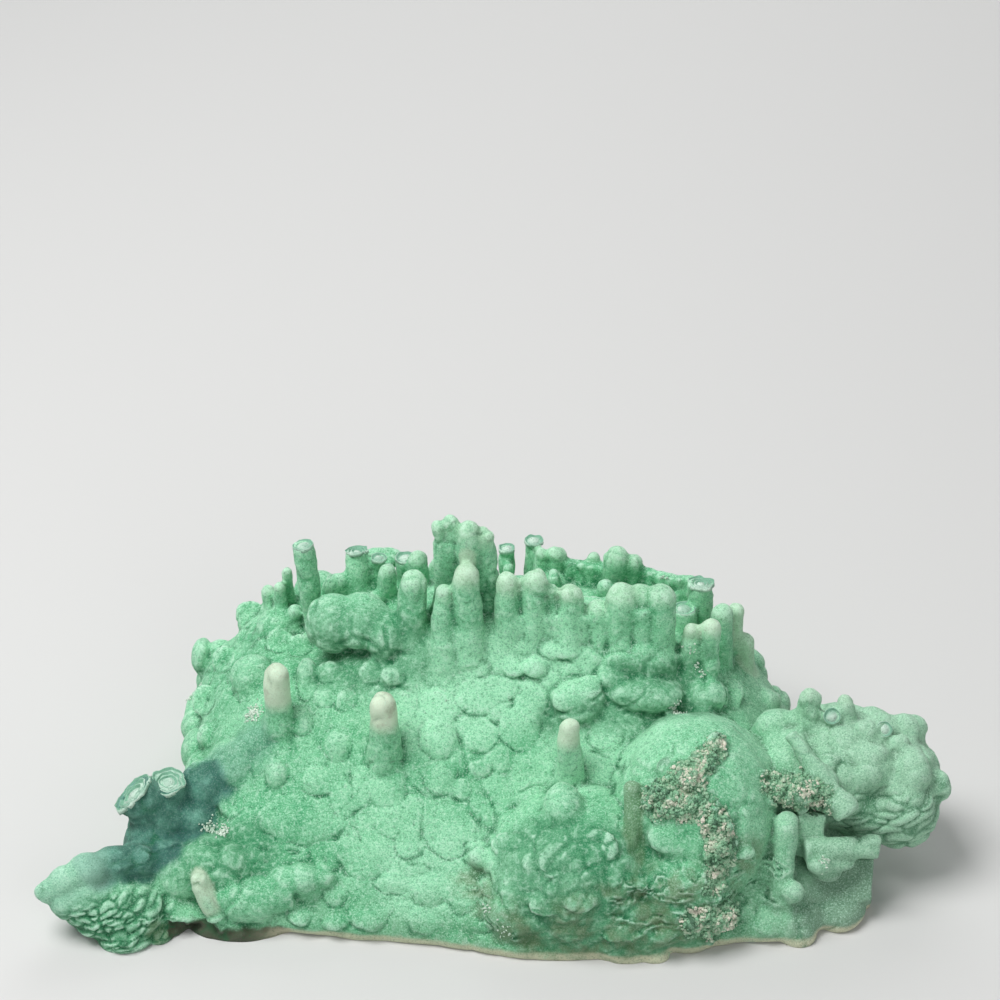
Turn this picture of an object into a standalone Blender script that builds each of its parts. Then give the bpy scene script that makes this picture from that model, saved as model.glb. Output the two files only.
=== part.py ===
"""A malachite specimen: a mound of knobs, stalactites, broken tubes and ledges grown together as one solid.

All sizes below are in millimetres. X runs along the specimen's length, Y from its front rim to its back
and Z up from the level it rests on. The finished solid is in metres, with its origin in the middle of its foot.
"""
import math
import random

import bmesh
import bpy
from mathutils import Euler, Matrix, Vector, noise
from mathutils.bvhtree import BVHTree
from mathutils.geometry import intersect_point_line

NAME = "malachite_mass"
MM = 0.001
MIDDLE = (0.0, 59.4)

# Fineness: the grain at which the forms are fused, and the facets that are kept.
GRAIN = 0.8
SOFTEN_STEPS = 2
TRIANGLES = 9650
ROD_SIDES = 16
ROD_GUARD = 0.8
GUARD_STRENGTH = 0.03

# The foot: the forms reach below it, and it is cut again after thinning to make it true.
ROUGH_FOOT = 0.0
TRUE_FOOT = 0.3
CUT_REACH = 0.05

# The skin's low domes, and the slow swell under them.
DOME_SIZE = 8.0
DOME_EDGE = 0.62
DOME_HEIGHT = 0.7
SWELL_SIZE = 22.0
SWELL_HEIGHT = 0.8

# The mound, as profiles across its depth at a row of places along its width. Each profile runs
# from the front foot over the rim, the incline, the ridge and the back crest to the back foot.
PROFILE_STEPS = 4
MOUND = (
    (-78, ((62, -4), (61, 4), (63, 8), (66, 11), (70, 13), (75, 15), (80, 15), (84, 14), (87, 8), (88, -4))),
    (-75.5, ((50, -4), (46, 6), (48, 13), (52, 17), (60, 21), (72, 24), (82, 25), (89, 23), (96, 11), (98, -4))),
    (-69, ((20, -4), (10, 3), (19, 12), (32, 19), (45, 26), (60, 31), (74, 32), (86, 30), (99, 15), (104, -4))),
    (-58, ((18, -4), (10, 3), (19, 15), (33, 26), (45, 35), (58, 39), (74, 40), (90, 40), (105, 22), (110, -4))),
    (-44, ((16, -4), (8.5, 3), (19, 16), (35, 29), (48, 38), (58, 42), (74, 41), (94, 43), (109, 22), (113, -4))),
    (-28, ((14, -4), (7, 3), (20, 17), (35, 29.5), (48, 40.5), (58, 48), (72, 49), (94, 45), (111, 22), (116, -4))),
    (-10, ((11, -4), (4, 3), (18, 16), (35, 29.5), (50, 43.5), (59, 54), (70, 56), (94, 44), (112, 22), (118, -4))),
    (8, ((8, -4), (1, 3), (17, 16), (34, 29.5), (50, 43), (59, 54), (71, 52), (95, 43), (112, 22), (118, -4))),
    (26, ((7, -4), (1, 3), (17, 16), (34, 29.5), (50, 42.5), (59, 51.5), (73, 46), (92, 43), (110, 22), (116, -4))),
    (44, ((11, -4), (5, 3), (18, 15), (35, 28), (50, 39.5), (59, 46), (75, 41), (88, 41), (104, 20), (109, -4))),
    (60, ((12, -4), (6, 3), (17, 14), (32, 24), (46, 31), (58, 34), (70, 36), (80, 36), (94, 18), (98, -4))),
    (70, ((12, -4), (6, 4), (18, 14), (32, 18), (44, 23), (55, 26), (64, 26), (72, 24), (82, 10), (85, -4))),
    (80, ((18, -4), (12, 3), (22, 11), (29, 13), (37, 15), (45, 17), (53, 17), (60, 15), (67, 6), (69, -4))),
    (89, ((22, -4), (18, 3), (24, 7), (28, 8), (33, 9), (38, 10), (43, 10), (48, 8), (52, 4), (53, -4))),
)

# Lumps: centre and three radii.
LUMPS = (
    # the two bulges of the front boulder
    ((19, 23, 7), (27, 23, 23)),
    ((47, 33, 18), (22, 24, 26)),
    ((9.0, 16.5, 6.5), (16.5, 14.5, 15.0)),
    ((4.5, 12.5, 12), (8.2, 8, 8.4)),
    ((4.2, 9.2, 8.2), (8.8, 7.4, 8.4)),
    ((30, 15.5, 4), (16, 16.5, 15)),
    ((42, 15.5, 8), (15, 13.5, 18)),
    # the right boulder, its neck and the plate under it
    ((83, 44, 24), (13, 17, 14.8)),
    ((96.5, 41, 22), (11.5, 15, 13)),
    ((88, 37, 29.0), (8.5, 8, 8)),
    ((98.6, 35, 29), (5.6, 6.5, 6.6)),
    ((106, 35, 25.3), (3.2, 4.5, 4)),
    ((99.0, 46.5, 32.8), (5.6, 4.6, 5.2)),
    ((91.5, 46, 31), (7.5, 7, 7.6)),
    ((75.0, 46.5, 34.2), (6.5, 5, 5.5)),
    ((67.5, 47, 32), (6, 6, 6)),
    ((97, 34, 20), (9.5, 10, 11.5)),
    ((92, 34, 19), (12.5, 9, 9)),
    ((70, 40, 20.5), (12, 15, 16.5)),
    ((63, 22, 8), (9, 9, 12)),
    ((80.6, 16.0, 2.6), (7.6, 6.4, 5.2)),
    ((70.5, 11.0, 1.5), (5.5, 6.0, 4.5)),
    ((35.8, 2.6, 0.5), (4.6, 3.0, 3.0)),
    # the blue lobe
    ((-64, 42.5, 24), (9, 8, 8)),
    ((-71, 39.5, 20.5), (8, 7.5, 8)),
    ((-78, 36, 17), (7.5, 7, 8)),
    ((-84, 32.5, 14.5), (7, 7, 7.5)),
    ((-75, 33, 13), (9, 8.5, 9.5)),
    ((-84, 28, 13), (7.5, 7, 8)),
    # the knobby arm and the scaly lobe under it
    ((-80.5, 23.5, 12.5), (6.5, 6.2, 6.2)),
    ((-86.5, 20.5, 14), (6.2, 5.4, 5.4)),
    ((-92, 17.8, 15), (6.0, 5.0, 5.2)),
    ((-97.5, 15.4, 15.4), (5.8, 4.8, 5.2)),
    ((-102.8, 13, 14.4), (4.6, 4.3, 4.6)),
    ((-107, 11.2, 13.2), (3.0, 3.0, 3.3)),
    ((-93, 12.5, 6.5), (11.5, 8, 8)),
    ((-98.5, 11.5, 9.5), (8.5, 6, 5.5)),
    ((-86.5, 13, 5), (8, 8, 8)),
    ((-89, 8.5, 1.6), (7, 6, 4.6)),
    ((-81.5, 10, 1), (4, 4, 3.4)),
    # lower left dome and ridge, and the rock under the rim
    ((-69, 22, 11), (12, 9, 8)),
    ((-76.5, 19.5, 10.5), (7.5, 6.5, 6.5)),
    ((-60.5, 13.2, 7.2), (8.5, 4.6, 4.8)),
    ((-57, 16, 6), (7, 5, 5)),
    ((-46, 18, 10), (8, 6, 6)),
    ((-50.6, 15.8, 12.2), (4.6, 4.2, 3.4)),
    ((-46.2, 15.8, 13.2), (4.4, 4.6, 3.8)),
    ((-42.2, 16.6, 13.2), (3.6, 3.8, 3.0)),
    ((-62, 14, 0), (13, 7, 4)),
    ((-81, 17, 1), (8, 9, 5)),
    # the ear at the back left corner
    ((-77, 87, 24), (3, 5, 5)),
    # the barrel block that overhangs the incline
    ((-41, 66, 51), (7, 8, 7.5)),
    ((-34, 65, 52), (8, 8, 7)),
    ((-28, 62, 50), (6, 7, 7)),
    # the arch and the lying piece behind it
    ((-41, 86, 47), (4.5, 3, 5)),
    ((-30, 95, 50), (6, 3.5, 3)),
    # the block under the right-hand barrels and the ledges below it
    ((34, 56.8, 46), (10, 4.8, 6.6)),
    ((18.7, 47.5, 39.5), (6.5, 5, 4)),
    ((37.5, 52, 41.5), (7.5, 5, 3)),
    ((35.6, 49.6, 41.4), (9.4, 4.8, 4.2)),
    ((19.2, 48.6, 41.6), (6.4, 4.4, 3.8)),
    ((27, 54, 44), (6, 4, 3)),
    ((50, 54, 38), (6, 6, 5)),
    # the bed of the crust along the front boulder
    ((50.8, 29, 42.4), (2.6, 2.6, 1.8)),
    ((47.6, 24.8, 40.6), (3.2, 2.8, 2.2)),
    ((43.8, 21.2, 38.6), (3.8, 2.8, 2.6)),
    ((38.8, 19.2, 35.4), (3.8, 2.8, 2.8)),
    ((36.0, 19.6, 33.0), (2.6, 2.4, 2.4)),
    ((41.5, 17.4, 34.4), (4.4, 2.4, 2.8)),
    ((46.2, 17.0, 34.8), (3.4, 2.4, 3.0)),
    ((50.4, 14.2, 31.0), (3.2, 2.4, 3.6)),
    ((51.2, 11.6, 25.4), (2.8, 2.4, 3.8)),
    ((57.2, 12.8, 23.6), (3.2, 2.6, 1.8)),
    ((48.6, 10.0, 17.0), (3.4, 3.0, 4.0)),
    ((48.4, 6.8, 10.2), (6.4, 3.6, 3.8)),
    # the bed of the crust on the neck
    ((65.6, 26.0, 31.6), (3.6, 2.8, 3.0)),
    ((71.0, 25.2, 31.4), (5.0, 2.8, 4.2)),
    ((75.4, 26.0, 31.0), (3.4, 2.6, 3.6)),
    # steps on the front face
    ((30, 9, 18.5), (8, 4, 1.8)),
    ((37, 9, 13.5), (8, 5, 1.8)),
    ((24, 4.5, 10.5), (9, 4, 2)),
    ((35, 6, 5.5), (9, 6, 2)),
    # knobs on the right boulder and the lobe under it
    ((87.4, 41.0, 37.0), (3.0, 3.0, 2.4)),
    ((95.6, 38.6, 35.4), (2.6, 2.4, 2.2)),
    ((91.0, 35.6, 35.0), (2.8, 2.4, 2.0)),
    ((78.6, 34.0, 33.6), (3.4, 3.2, 2.6)),
    ((101.6, 37.0, 31.0), (3.0, 2.6, 2.4)),
    ((68.9, 11.2, 12.6), (3.3, 3.0, 3.1)),
    ((75.7, 16.6, 17.0), (3.4, 3.2, 3.2)),
    ((77.6, 17.6, 13.2), (4.0, 3.2, 1.9)),
    ((67.7, 20.4, 26.6), (2.5, 2.5, 2.0)),
)

# Nodules on the incline: centre, and radii across it, up it and out of it.
INCLINE = 40.0
NODULES = (
    ((-61.0, 61.9, 36.5), (5.6, 6.2, 4.9)),
    ((-72.5, 54.4, 24.6), (3.0, 3.2, 2.4)),
    ((-47.2, 56.6, 40.3), (2.7, 5.5, 2.8)),
    ((-41.6, 57.6, 42.0), (3.4, 3.1, 2.4)),
    ((-42.5, 50.9, 39.3), (2.9, 2.4, 1.3)),
    ((-37.4, 49.8, 39.6), (2.7, 2.9, 1.3)),
    ((-48.4, 45.8, 36.0), (3.1, 3.9, 2.0)),
    ((-54.1, 35.9, 28.2), (3.1, 3.9, 2.4)),
    ((-39.3, 40.9, 32.8), (3.6, 4.1, 2.5)),
    ((-65.3, 32.4, 21.8), (3.4, 3.6, 1.3)),
    ((-47.8, 26.9, 21.9), (10.6, 6.3, 1.3)),
    ((-43.7, 33.9, 27.8), (4.3, 3.9, 0.8)),
    ((-37.1, 30.0, 24.9), (3.9, 4.3, 0.8)),
    ((-26.2, 53.3, 44.4), (3.4, 3.1, 2.6)),
    ((-31.6, 54.5, 44.5), (2.9, 2.9, 1.1)),
    ((-14.5, 41.8, 34.5), (4.8, 5.5, 2.4)),
    ((-5.8, 48.8, 41.6), (5.3, 4.8, 1.1)),
    ((-4.8, 41.8, 35.2), (4.6, 4.3, 0.8)),
    ((-27.6, 32.8, 27.1), (5.3, 5.3, 1.3)),
    ((-33.1, 32.8, 27.2), (2.9, 4.8, 0.8)),
    ((-14.4, 34.2, 28.2), (3.9, 4.6, 1.1)),
    ((-4.8, 35.8, 30.0), (3.4, 2.4, 0.8)),
    ((-9.1, 32.2, 26.8), (2.4, 2.9, 0.8)),
    ((-25.1, 25.8, 21.6), (4.8, 3.9, 0.8)),
    ((-11.9, 24.3, 20.4), (6.0, 6.7, 1.1)),
    ((-21.4, 22.1, 18.6), (3.4, 4.3, 0.8)),
    ((-32.1, 20.0, 16.3), (6.7, 5.8, 1.1)),
    ((-36.9, 20.8, 17.2), (2.4, 3.4, 0.8)),
    ((-24.9, 15.1, 12.2), (4.8, 2.9, 0.8)),
    ((-16.6, 13.4, 11.3), (4.3, 4.3, 1.0)),
    ((-9.0, 12.7, 11.3), (4.1, 5.3, 0.8)),
    ((-17.7, 8.3, 6.5), (4.3, 3.9, 0.8)),
    ((-30.8, 10.7, 7.4), (5.3, 4.8, 0.8)),
    ((-39.2, 13.6, 10.1), (2.9, 3.4, 1.0)),
    ((-39.1, 9.5, 5.3), (3.4, 2.9, 0.8)),
    ((-47.5, 10.9, 6.5), (2.9, 3.4, 0.8)),
    ((4.8, 43.4, 36.7), (5.3, 5.8, 1.0)),
    ((-4.8, 19.4, 16.8), (3.4, 3.4, 3.2)),
    ((7.9, 10.4, 22.8), (3.1, 2.9, 1.3)),
    ((14.9, 22.4, 28.6), (5.0, 6.8, 4.4)),
    ((1.2, 17.4, 22.5), (3.9, 3.4, 1.1)),
    ((39.1, 25.0, 39.7), (3.1, 2.9, 2.0)),
    ((40.1, 13.6, 27.5), (5.8, 4.8, 1.9)),
    ((14.0, 9.2, 24.0), (5.3, 4.8, 0.8)),
    ((23.3, 11.3, 25.8), (4.3, 5.3, 0.8)),
    ((21.3, 50.5, 42.7), (3.4, 3.6, 2.8)),
    ((15.2, 46.8, 41.9), (3.4, 3.4, 2.5)),
    ((8.0, 53.7, 46.6), (3.6, 2.9, 2.4)),
    ((30.3, 50.7, 41.8), (4.6, 4.3, 2.6)),
    ((3.6, 53.7, 47.3), (3.4, 3.4, 0.8)),
    ((1.2, 49.8, 42.7), (3.4, 2.9, 0.8)),
    ((14.5, 55.9, 50.2), (4.8, 2.9, 1.0)),
    ((25.3, 41.7, 35.3), (4.3, 3.9, 0.8)),
    ((56.5, 57.2, 36.2), (3.9, 4.3, 1.1)),
    ((-64.2, 89.2, 35.9), (3.9, 4.3, 0.8)),
    ((-69.7, 76.4, 31.2), (3.4, 3.9, 0.8)),
    ((-55.0, 72.9, 40.3), (3.9, 3.4, 0.8)),
    ((-49.9, 70.9, 40.3), (2.9, 3.4, 0.8)),
    ((-74.1, 66.0, 26.6), (3.4, 4.3, 0.8)),
    ((18.6, 3.2, 17.6), (4.8, 3.4, 0.8)),
    ((10.5, 3.7, 15.6), (4.3, 3.4, 0.8)),
    ((28.0, 0.6, 9.0), (5.3, 2.9, 0.8)),
    ((37.4, 2.4, 8.9), (4.3, 3.4, 0.8)),
    ((63.8, 7.6, 5.5), (3.9, 2.9, 0.8)),
    ((59.3, 13.5, 11.1), (3.4, 2.9, 0.8)),
)

# Fingers: foot, tip, foot radius and tip radius. Each flares to a wider foot up to a share of its height.
FLARE_REACH = 0.4
FLARE_SPREAD = 1.3
FINGERS = (
    # the ridge
    ((-14.2, 67, 50), (-14.3, 68, 80.0), 2.6, 2.0),
    ((-12.3, 67, 50), (-12.1, 68, 81.2), 2.8, 2.2),
    ((-7.4, 66, 52), (-7.5, 66, 80.6), 3.2, 2.8),
    ((-2.8, 67, 52), (-3.7, 67, 78.6), 3.6, 2.5),
    ((-8.0, 58.3, 47), (-8.2, 61, 72.3), 4.8, 3.1),
    ((-13.8, 56.6, 44), (-13.7, 60, 67), 4.6, 2.1),
    ((1.7, 58.0, 44), (1.8, 62, 69), 3.5, 2.7),
    ((8.3, 58.4, 44), (8.3, 63, 69.6), 3.5, 3.6),
    ((12.6, 58.0, 44), (12.4, 62.5, 65.4), 2.9, 2.0),
    ((17.0, 57.6, 44), (17.0, 62, 65.9), 3.8, 3.2),
    # the right-hand barrels
    ((29.4, 57.6, 42), (29.6, 61.5, 65.6), 4.4, 3.8),
    ((34.0, 58.6, 42), (34.0, 62.5, 64.8), 4.2, 3.4),
    ((39.0, 57.6, 42), (39.0, 61.5, 65.4), 4.3, 3.8),
    ((46.2, 56.2, 36), (46.4, 59, 56.4), 2.5, 2.3),
    ((50.9, 55.4, 36), (51.0, 59, 57.6), 2.8, 2.6),
    ((54.6, 67, 32), (54.6, 68, 55.0), 3.4, 3.0),
    ((58.8, 71, 28), (58.4, 72, 52.0), 2.4, 2.0),
    ((62.4, 70, 22), (61.2, 72, 43), 3.0, 2.6),
    # the back row
    ((10.3, 96, 38), (10.3, 96, 51.9), 2.3, 2.0),
    ((14.4, 96, 38), (14.4, 96, 52.6), 2.8, 2.7),
    ((24.0, 96, 38), (24.0, 96, 50.8), 2.0, 1.8),
    ((29.3, 90, 38), (29.3, 90, 56.4), 3.4, 3.2),
    ((33.8, 90, 38), (33.8, 90, 54.2), 2.8, 2.5),
    # the left back group
    ((-53.5, 85, 40), (-53.5, 85, 54.2), 1.9, 1.6),
    ((-55.4, 82, 38), (-55.4, 82, 51.4), 1.9, 1.6),
    ((-58.4, 84, 36), (-58.7, 85, 48.4), 2.2, 1.8),
    ((-28.1, 79, 44), (-28.1, 80, 58.9), 2.8, 2.6),
    ((-20.5, 84, 44), (-20.5, 84, 59.8), 3.0, 2.8),
    ((-22.6, 60.2, 44), (-20.6, 65.5, 67.4), 4.6, 3.7),
    # on the incline
    ((-53.4, 45.5, 34), (-53.2, 46.5, 53.2), 3.4, 3.2),
    ((-27.8, 38, 26), (-27.6, 39, 50.4), 4.0, 3.1),
    ((16.6, 33.5, 25), (16.5, 34.5, 46.4), 3.4, 3.0),
    ((-67.2, 10.2, 5.2), (-71.9, 13.2, 16.2), 2.2, 2.1),
    # on the right boulder
    ((74.8, 46, 34), (74.8, 47, 45.4), 3.4, 3.0),
    ((83.4, 45.0, 35), (83.5, 46, 43.8), 2.8, 2.4),
    # between the ridge and the barrels, and one that is buried in the front boulder
    ((24.0, 58.4, 44), (23.8, 62, 60.8), 3.6, 3.4),
    ((31.4, 13.2, 18.3), (31.2, 23.8, 36.6), 2.3, 2.1),
)

# Broken tubes: foot, rim centre, foot radius and rim radius.
TUBES = (
    ((-45.7, 75, 36), (-48.5, 78, 66), 3.0, 2.7),
    ((-35.5, 86, 42), (-36.1, 90, 56), 5.0, 3.0),
    ((-30.5, 88, 42), (-30.5, 88, 55), 2.2, 2.0),
    ((-23.8, 86, 42), (-23.8, 86, 56.5), 2.8, 2.6),
    ((1.8, 98, 38), (1.8, 98, 51), 2.4, 2.2),
    ((8.7, 100, 36), (8.7, 100, 52), 2.8, 2.5),
    ((50.2, 79, 36), (50.2, 80, 53), 3.4, 3.2),
    ((46, 76, 38), (46, 76, 48), 3.0, 2.9),
    # two short ends that face forward on the right boulder
    ((80.0, 47.5, 35.5), (79.7, 42.4, 40.7), 2.3, 2.1),
    ((92.8, 45.6, 32.5), (92.4, 40.8, 38.0), 2.2, 2.0),
    # the two wide blue tubes
    ((-80.5, 30.3, 17.5), (-88.2, 31.3, 26.2), 5.6, 5.7),
    ((-79.9, 36.5, 14), (-79.9, 34.1, 27.4), 5.2, 4.3),
)

# Bars: pieces of stalactite that lie or stand clear, broken off flat: two ends and their radii.
BARS = (
    # the ridge at the lower left
    ((-69.0, 14.2, 6.6), (-49.0, 15.0, 9.6), 5.0, 4.8),
    # the standing and the lying piece on the right lobe, and the flake beside them
    ((66.4, 12.0, 8), (67.6, 19.6, 26.8), 3.3, 2.5),
    ((72.0, 18.2, 19.6), (90.2, 20.6, 18.2), 2.7, 3.0),
    ((77.0, 17.0, 16.4), (84.6, 17.4, 15.4), 2.6, 0.7),
    # the leaning piece on the neck
    ((68.9, 35.2, 41.6), (82.2, 21.6, 27.9), 2.1, 3.3),
)

# Slabs: centre, half sizes and turns about X, Y and Z in degrees.
SLABS = (
    # the flap at the lower left
    ((-72.8, 12.8, 5.2), (6.4, 3.2, 0.9), (28, 20, 12)),
    # the plate and the web of the right lobe
    ((81.8, 21.2, 6.9), (7.8, 5.3, 4.6), (42, 0, -3)),
    ((73.4, 22.0, 21.2), (3.2, 1.8, 5.4), (-24, 6, 0)),
)

# Walls that join rows of fingers: two ends in plan, low and high level, and thickness.
WALL_FOOT = 1.3
WALL_TOP = 0.7
WALLS = (
    ((-15, 67), (26, 66), 44, 58.5, 2.8),
    ((18, 95), (26, 93), 36, 49, 2.4),
    ((36, 90), (48, 86), 36, 50.5, 2.4),
    ((2, 60.0), (26, 59.8), 44, 58.5, 3.0),
    ((29.4, 59.4), (39, 59.4), 44, 61.0, 3.8),
)

# Knobs scattered over the sides that face away: how many, and the box that they are dropped onto the
# mound from, with the way that they travel.
SCATTER_SEED = 11
SCATTER_RADIUS = (2.6, 6.5)
SCATTER_SINK = 0.42
SCATTERS = (
    (60, (-76, 78, 90), (66, 118, 90), (0, 0, -1)),
    (46, (-74, 150, 3), (62, 150, 36), (0, -1, 0)),
    (16, (-120, 50, 2), (-120, 96, 18), (1, 0, 0)),
    (14, (120, 62, 2), (120, 96, 30), (-1, 0, 0)),
)

# Short stalactites scattered over the hollow behind the ridge and the back slope.
SHOOT_COUNT = 20
SHOOT_BOX = ((-60, 76, 90), (58, 108, 90))
SHOOT_RADIUS = (1.5, 2.5)
SHOOT_HEIGHT = (3.0, 7.0)


def clear_scene():
    """Removes whatever the file starts with."""
    for obj in list(bpy.data.objects):
        bpy.data.objects.remove(obj, do_unlink=True)


def along(start, end):
    """The placing that carries the Z axis, centred at its middle, onto the line from start to end."""
    turn = (end - start).to_track_quat("Z", "X").to_matrix().to_4x4()
    return Matrix.Translation((start + end) / 2) @ turn


def add_lump(bm, centre, radii, turn=Matrix.Identity(4)):
    """An ellipsoid."""
    place = Matrix.Translation(Vector(centre)) @ turn @ Matrix.Diagonal((*radii, 1.0))
    bmesh.ops.create_icosphere(bm, subdivisions=3, radius=1.0, matrix=place)


def add_nodule(bm, centre, radii):
    """A low dome that lies on the incline."""
    turn = Euler((math.radians(INCLINE), 0, 0)).to_matrix().to_4x4()
    add_lump(bm, centre, radii, turn)


def add_rod(bm, start, end, start_radius, end_radius):
    """A tapered round rod with flat ends."""
    bmesh.ops.create_cone(
        bm,
        cap_ends=True,
        segments=ROD_SIDES,
        radius1=start_radius,
        radius2=end_radius,
        depth=(end - start).length,
        matrix=along(start, end),
    )


def add_finger(bm, foot, tip, foot_radius, tip_radius):
    """A stalactite with a round tip, which flares where it grows out of the mass."""
    foot = Vector(foot)
    tip = Vector(tip)
    top = tip - (tip - foot).normalized() * tip_radius
    flare = foot.lerp(top, FLARE_REACH)
    add_rod(bm, foot, top, foot_radius, tip_radius)
    add_rod(bm, foot, flare, foot_radius * FLARE_SPREAD, foot_radius * 0.9)
    add_lump(bm, top, (tip_radius, tip_radius, tip_radius))


def add_tube(bm, foot, rim, foot_radius, rim_radius):
    """A stalactite that is broken off flat."""
    foot = Vector(foot)
    add_rod(bm, foot, Vector(rim), foot_radius, rim_radius)
    add_lump(bm, foot, (foot_radius, foot_radius, foot_radius))


def add_slab(bm, centre, half, turns):
    """A flat plate."""
    turn = Euler([math.radians(angle) for angle in turns]).to_matrix().to_4x4()
    place = Matrix.Translation(Vector(centre)) @ turn @ Matrix.Diagonal((*half, 1.0))
    bmesh.ops.create_cube(bm, size=2.0, matrix=place)


def add_wall(bm, left, right, low, high, thickness):
    """A curtain of merged rods between two places."""
    left = Vector((*left, 0))
    right = Vector((*right, 0))
    count = max(2, int((right - left).length / thickness))
    for step in range(count + 1):
        spot = left.lerp(right, step / count)
        foot = spot + Vector((0, 0, low))
        top = spot + Vector((0, 0, high))
        add_rod(bm, foot, top, thickness * WALL_FOOT, thickness * WALL_TOP)


def curve_between(points, steps):
    """Points on a smooth curve through the given ones, with as many steps between each pair."""
    found = []
    last = len(points) - 1
    for i in range(last):
        before = points[max(i - 1, 0)]
        here = points[i]
        there = points[i + 1]
        after = points[min(i + 2, last)]
        for step in range(steps):
            t = step / steps
            line = 2 * here + (there - before) * t
            bend = (2 * before - 5 * here + 4 * there - after) * t * t
            twist = (3 * here - before - 3 * there + after) * t * t * t
            found.append((line + bend + twist) / 2)
    found.append(points[last])
    return found


def add_mound(bm):
    """The mound's body, skinned over its profiles."""
    rows = [[Vector((x, y, z)) for y, z in profile] for x, profile in MOUND]
    columns = [curve_between(column, PROFILE_STEPS) for column in zip(*rows)]
    loops = []
    for section in zip(*columns):
        outline = curve_between(section, PROFILE_STEPS)
        verts = [bm.verts.new(point) for point in outline]
        loops.append([bm.edges.new((verts[k - 1], verts[k])) for k in range(len(verts))])
    for before, after in zip(loops, loops[1:]):
        bmesh.ops.bridge_loops(bm, edges=before + after)
    for end in (loops[0], loops[-1]):
        bmesh.ops.contextual_create(bm, geom=end)
    bmesh.ops.recalc_face_normals(bm, faces=bm.faces)


def between(rng, low, high):
    """A chance point of a box."""
    return Vector([rng.uniform(a, b) for a, b in zip(low, high)])


def add_scatter(bm):
    """Knobs of chance sizes on the sides that face away, and short stalactites in the hollow."""
    rng = random.Random(SCATTER_SEED)
    tree = BVHTree.FromBMesh(bm)
    for count, low, high, way in SCATTERS:
        for _ in range(count):
            start = between(rng, low, high)
            radius = rng.uniform(*SCATTER_RADIUS)
            place, normal, _, _ = tree.ray_cast(start, Vector(way))
            if place is not None:
                add_lump(bm, place - normal * radius * SCATTER_SINK, (radius, radius, radius))
    for _ in range(SHOOT_COUNT):
        start = between(rng, *SHOOT_BOX)
        radius = rng.uniform(*SHOOT_RADIUS)
        height = rng.uniform(*SHOOT_HEIGHT)
        place, _, _, _ = tree.ray_cast(start, Vector((0, 0, -1)))
        if place is not None:
            up = Vector((0, 0, height))
            add_finger(bm, place - up, place + up, radius * 1.2, radius)


def loose_forms():
    """Every form of the mass, still as separate closed shapes that run into each other."""
    bm = bmesh.new()
    add_mound(bm)
    add_scatter(bm)
    for lump in LUMPS:
        add_lump(bm, *lump)
    for nodule in NODULES:
        add_nodule(bm, *nodule)
    for finger in FINGERS:
        add_finger(bm, *finger)
    for tube in TUBES:
        add_tube(bm, *tube)
    for wall in WALLS:
        add_wall(bm, *wall)
    for start, end, start_radius, end_radius in BARS:
        add_rod(bm, Vector(start), Vector(end), start_radius, end_radius)
    for slab in SLABS:
        add_slab(bm, *slab)
    return bm


def new_object(bm):
    """Turns the forms into the specimen's object, in a collection of its own."""
    mesh = bpy.data.meshes.new(NAME)
    bm.to_mesh(mesh)
    bm.free()
    obj = bpy.data.objects.new(NAME, mesh)
    group = bpy.data.collections.new("malachite_specimen")
    bpy.context.scene.collection.children.link(group)
    group.objects.link(obj)
    return obj


def apply_modifiers(obj):
    """Gives the object the mesh that its modifiers make of it."""
    graph = bpy.context.evaluated_depsgraph_get()
    mesh = bpy.data.meshes.new_from_object(obj.evaluated_get(graph))
    old = obj.data
    obj.modifiers.clear()
    obj.data = mesh
    bpy.data.meshes.remove(old)
    mesh.name = NAME


def fuse(obj):
    """Grows the forms together into one skin."""
    remesh = obj.modifiers.new("fuse", "REMESH")
    remesh.mode = "VOXEL"
    remesh.voxel_size = GRAIN
    soften = obj.modifiers.new("soften", "SMOOTH")
    soften.factor = 0.5
    soften.iterations = SOFTEN_STEPS
    apply_modifiers(obj)


def swell_skin(bm):
    """Raises the low domes and the slow swell over the skin."""
    bm.normal_update()
    places = []
    for vert in bm.verts:
        near = noise.voronoi(vert.co / DOME_SIZE)[0][0]
        dome = max(0.0, 1.0 - (near / DOME_EDGE) ** 2) - 0.5
        swell = noise.noise(vert.co / SWELL_SIZE)
        places.append(vert.co + vert.normal * (DOME_HEIGHT * dome + SWELL_HEIGHT * swell))
    for vert, place in zip(bm.verts, places):
        vert.co = place


def cut_foot(bm, level):
    """Cuts the mass off flat at a level and closes the cut."""
    cut = bmesh.ops.bisect_plane(
        bm,
        geom=list(bm.verts) + list(bm.edges) + list(bm.faces),
        dist=CUT_REACH,
        plane_co=(0, 0, level),
        plane_no=(0, 0, 1),
        clear_inner=True,
    )
    edges = [item for item in cut["geom_cut"] if isinstance(item, bmesh.types.BMEdge)]
    bmesh.ops.triangle_fill(bm, use_beauty=True, use_dissolve=False, edges=edges)
    bmesh.ops.triangulate(bm, faces=bm.faces)


def guard_rods(obj):
    """Marks the skin of fingers and tubes, so that thinning takes more from the rest."""
    guard = obj.vertex_groups.new(name="rods")
    rods = [(Vector(rod[0]), Vector(rod[1]), max(rod[2], rod[3])) for rod in FINGERS + TUBES + BARS]
    marked = []
    for vert in obj.data.vertices:
        for foot, tip, radius in rods:
            near, part = intersect_point_line(vert.co, foot, tip)
            if 0.3 < part < 1.1 and (vert.co - near).length < radius + 1.0:
                marked.append(vert.index)
                break
    guard.add(marked, ROD_GUARD, "REPLACE")


def thin(obj):
    """Thins the skin to the facets that are kept."""
    guard_rods(obj)
    fewer = obj.modifiers.new("thin", "DECIMATE")
    fewer.vertex_group = "rods"
    fewer.invert_vertex_group = True
    fewer.vertex_group_factor = GUARD_STRENGTH
    fewer.ratio = TRIANGLES / len(obj.data.polygons)
    apply_modifiers(obj)
    obj.vertex_groups.clear()


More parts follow.
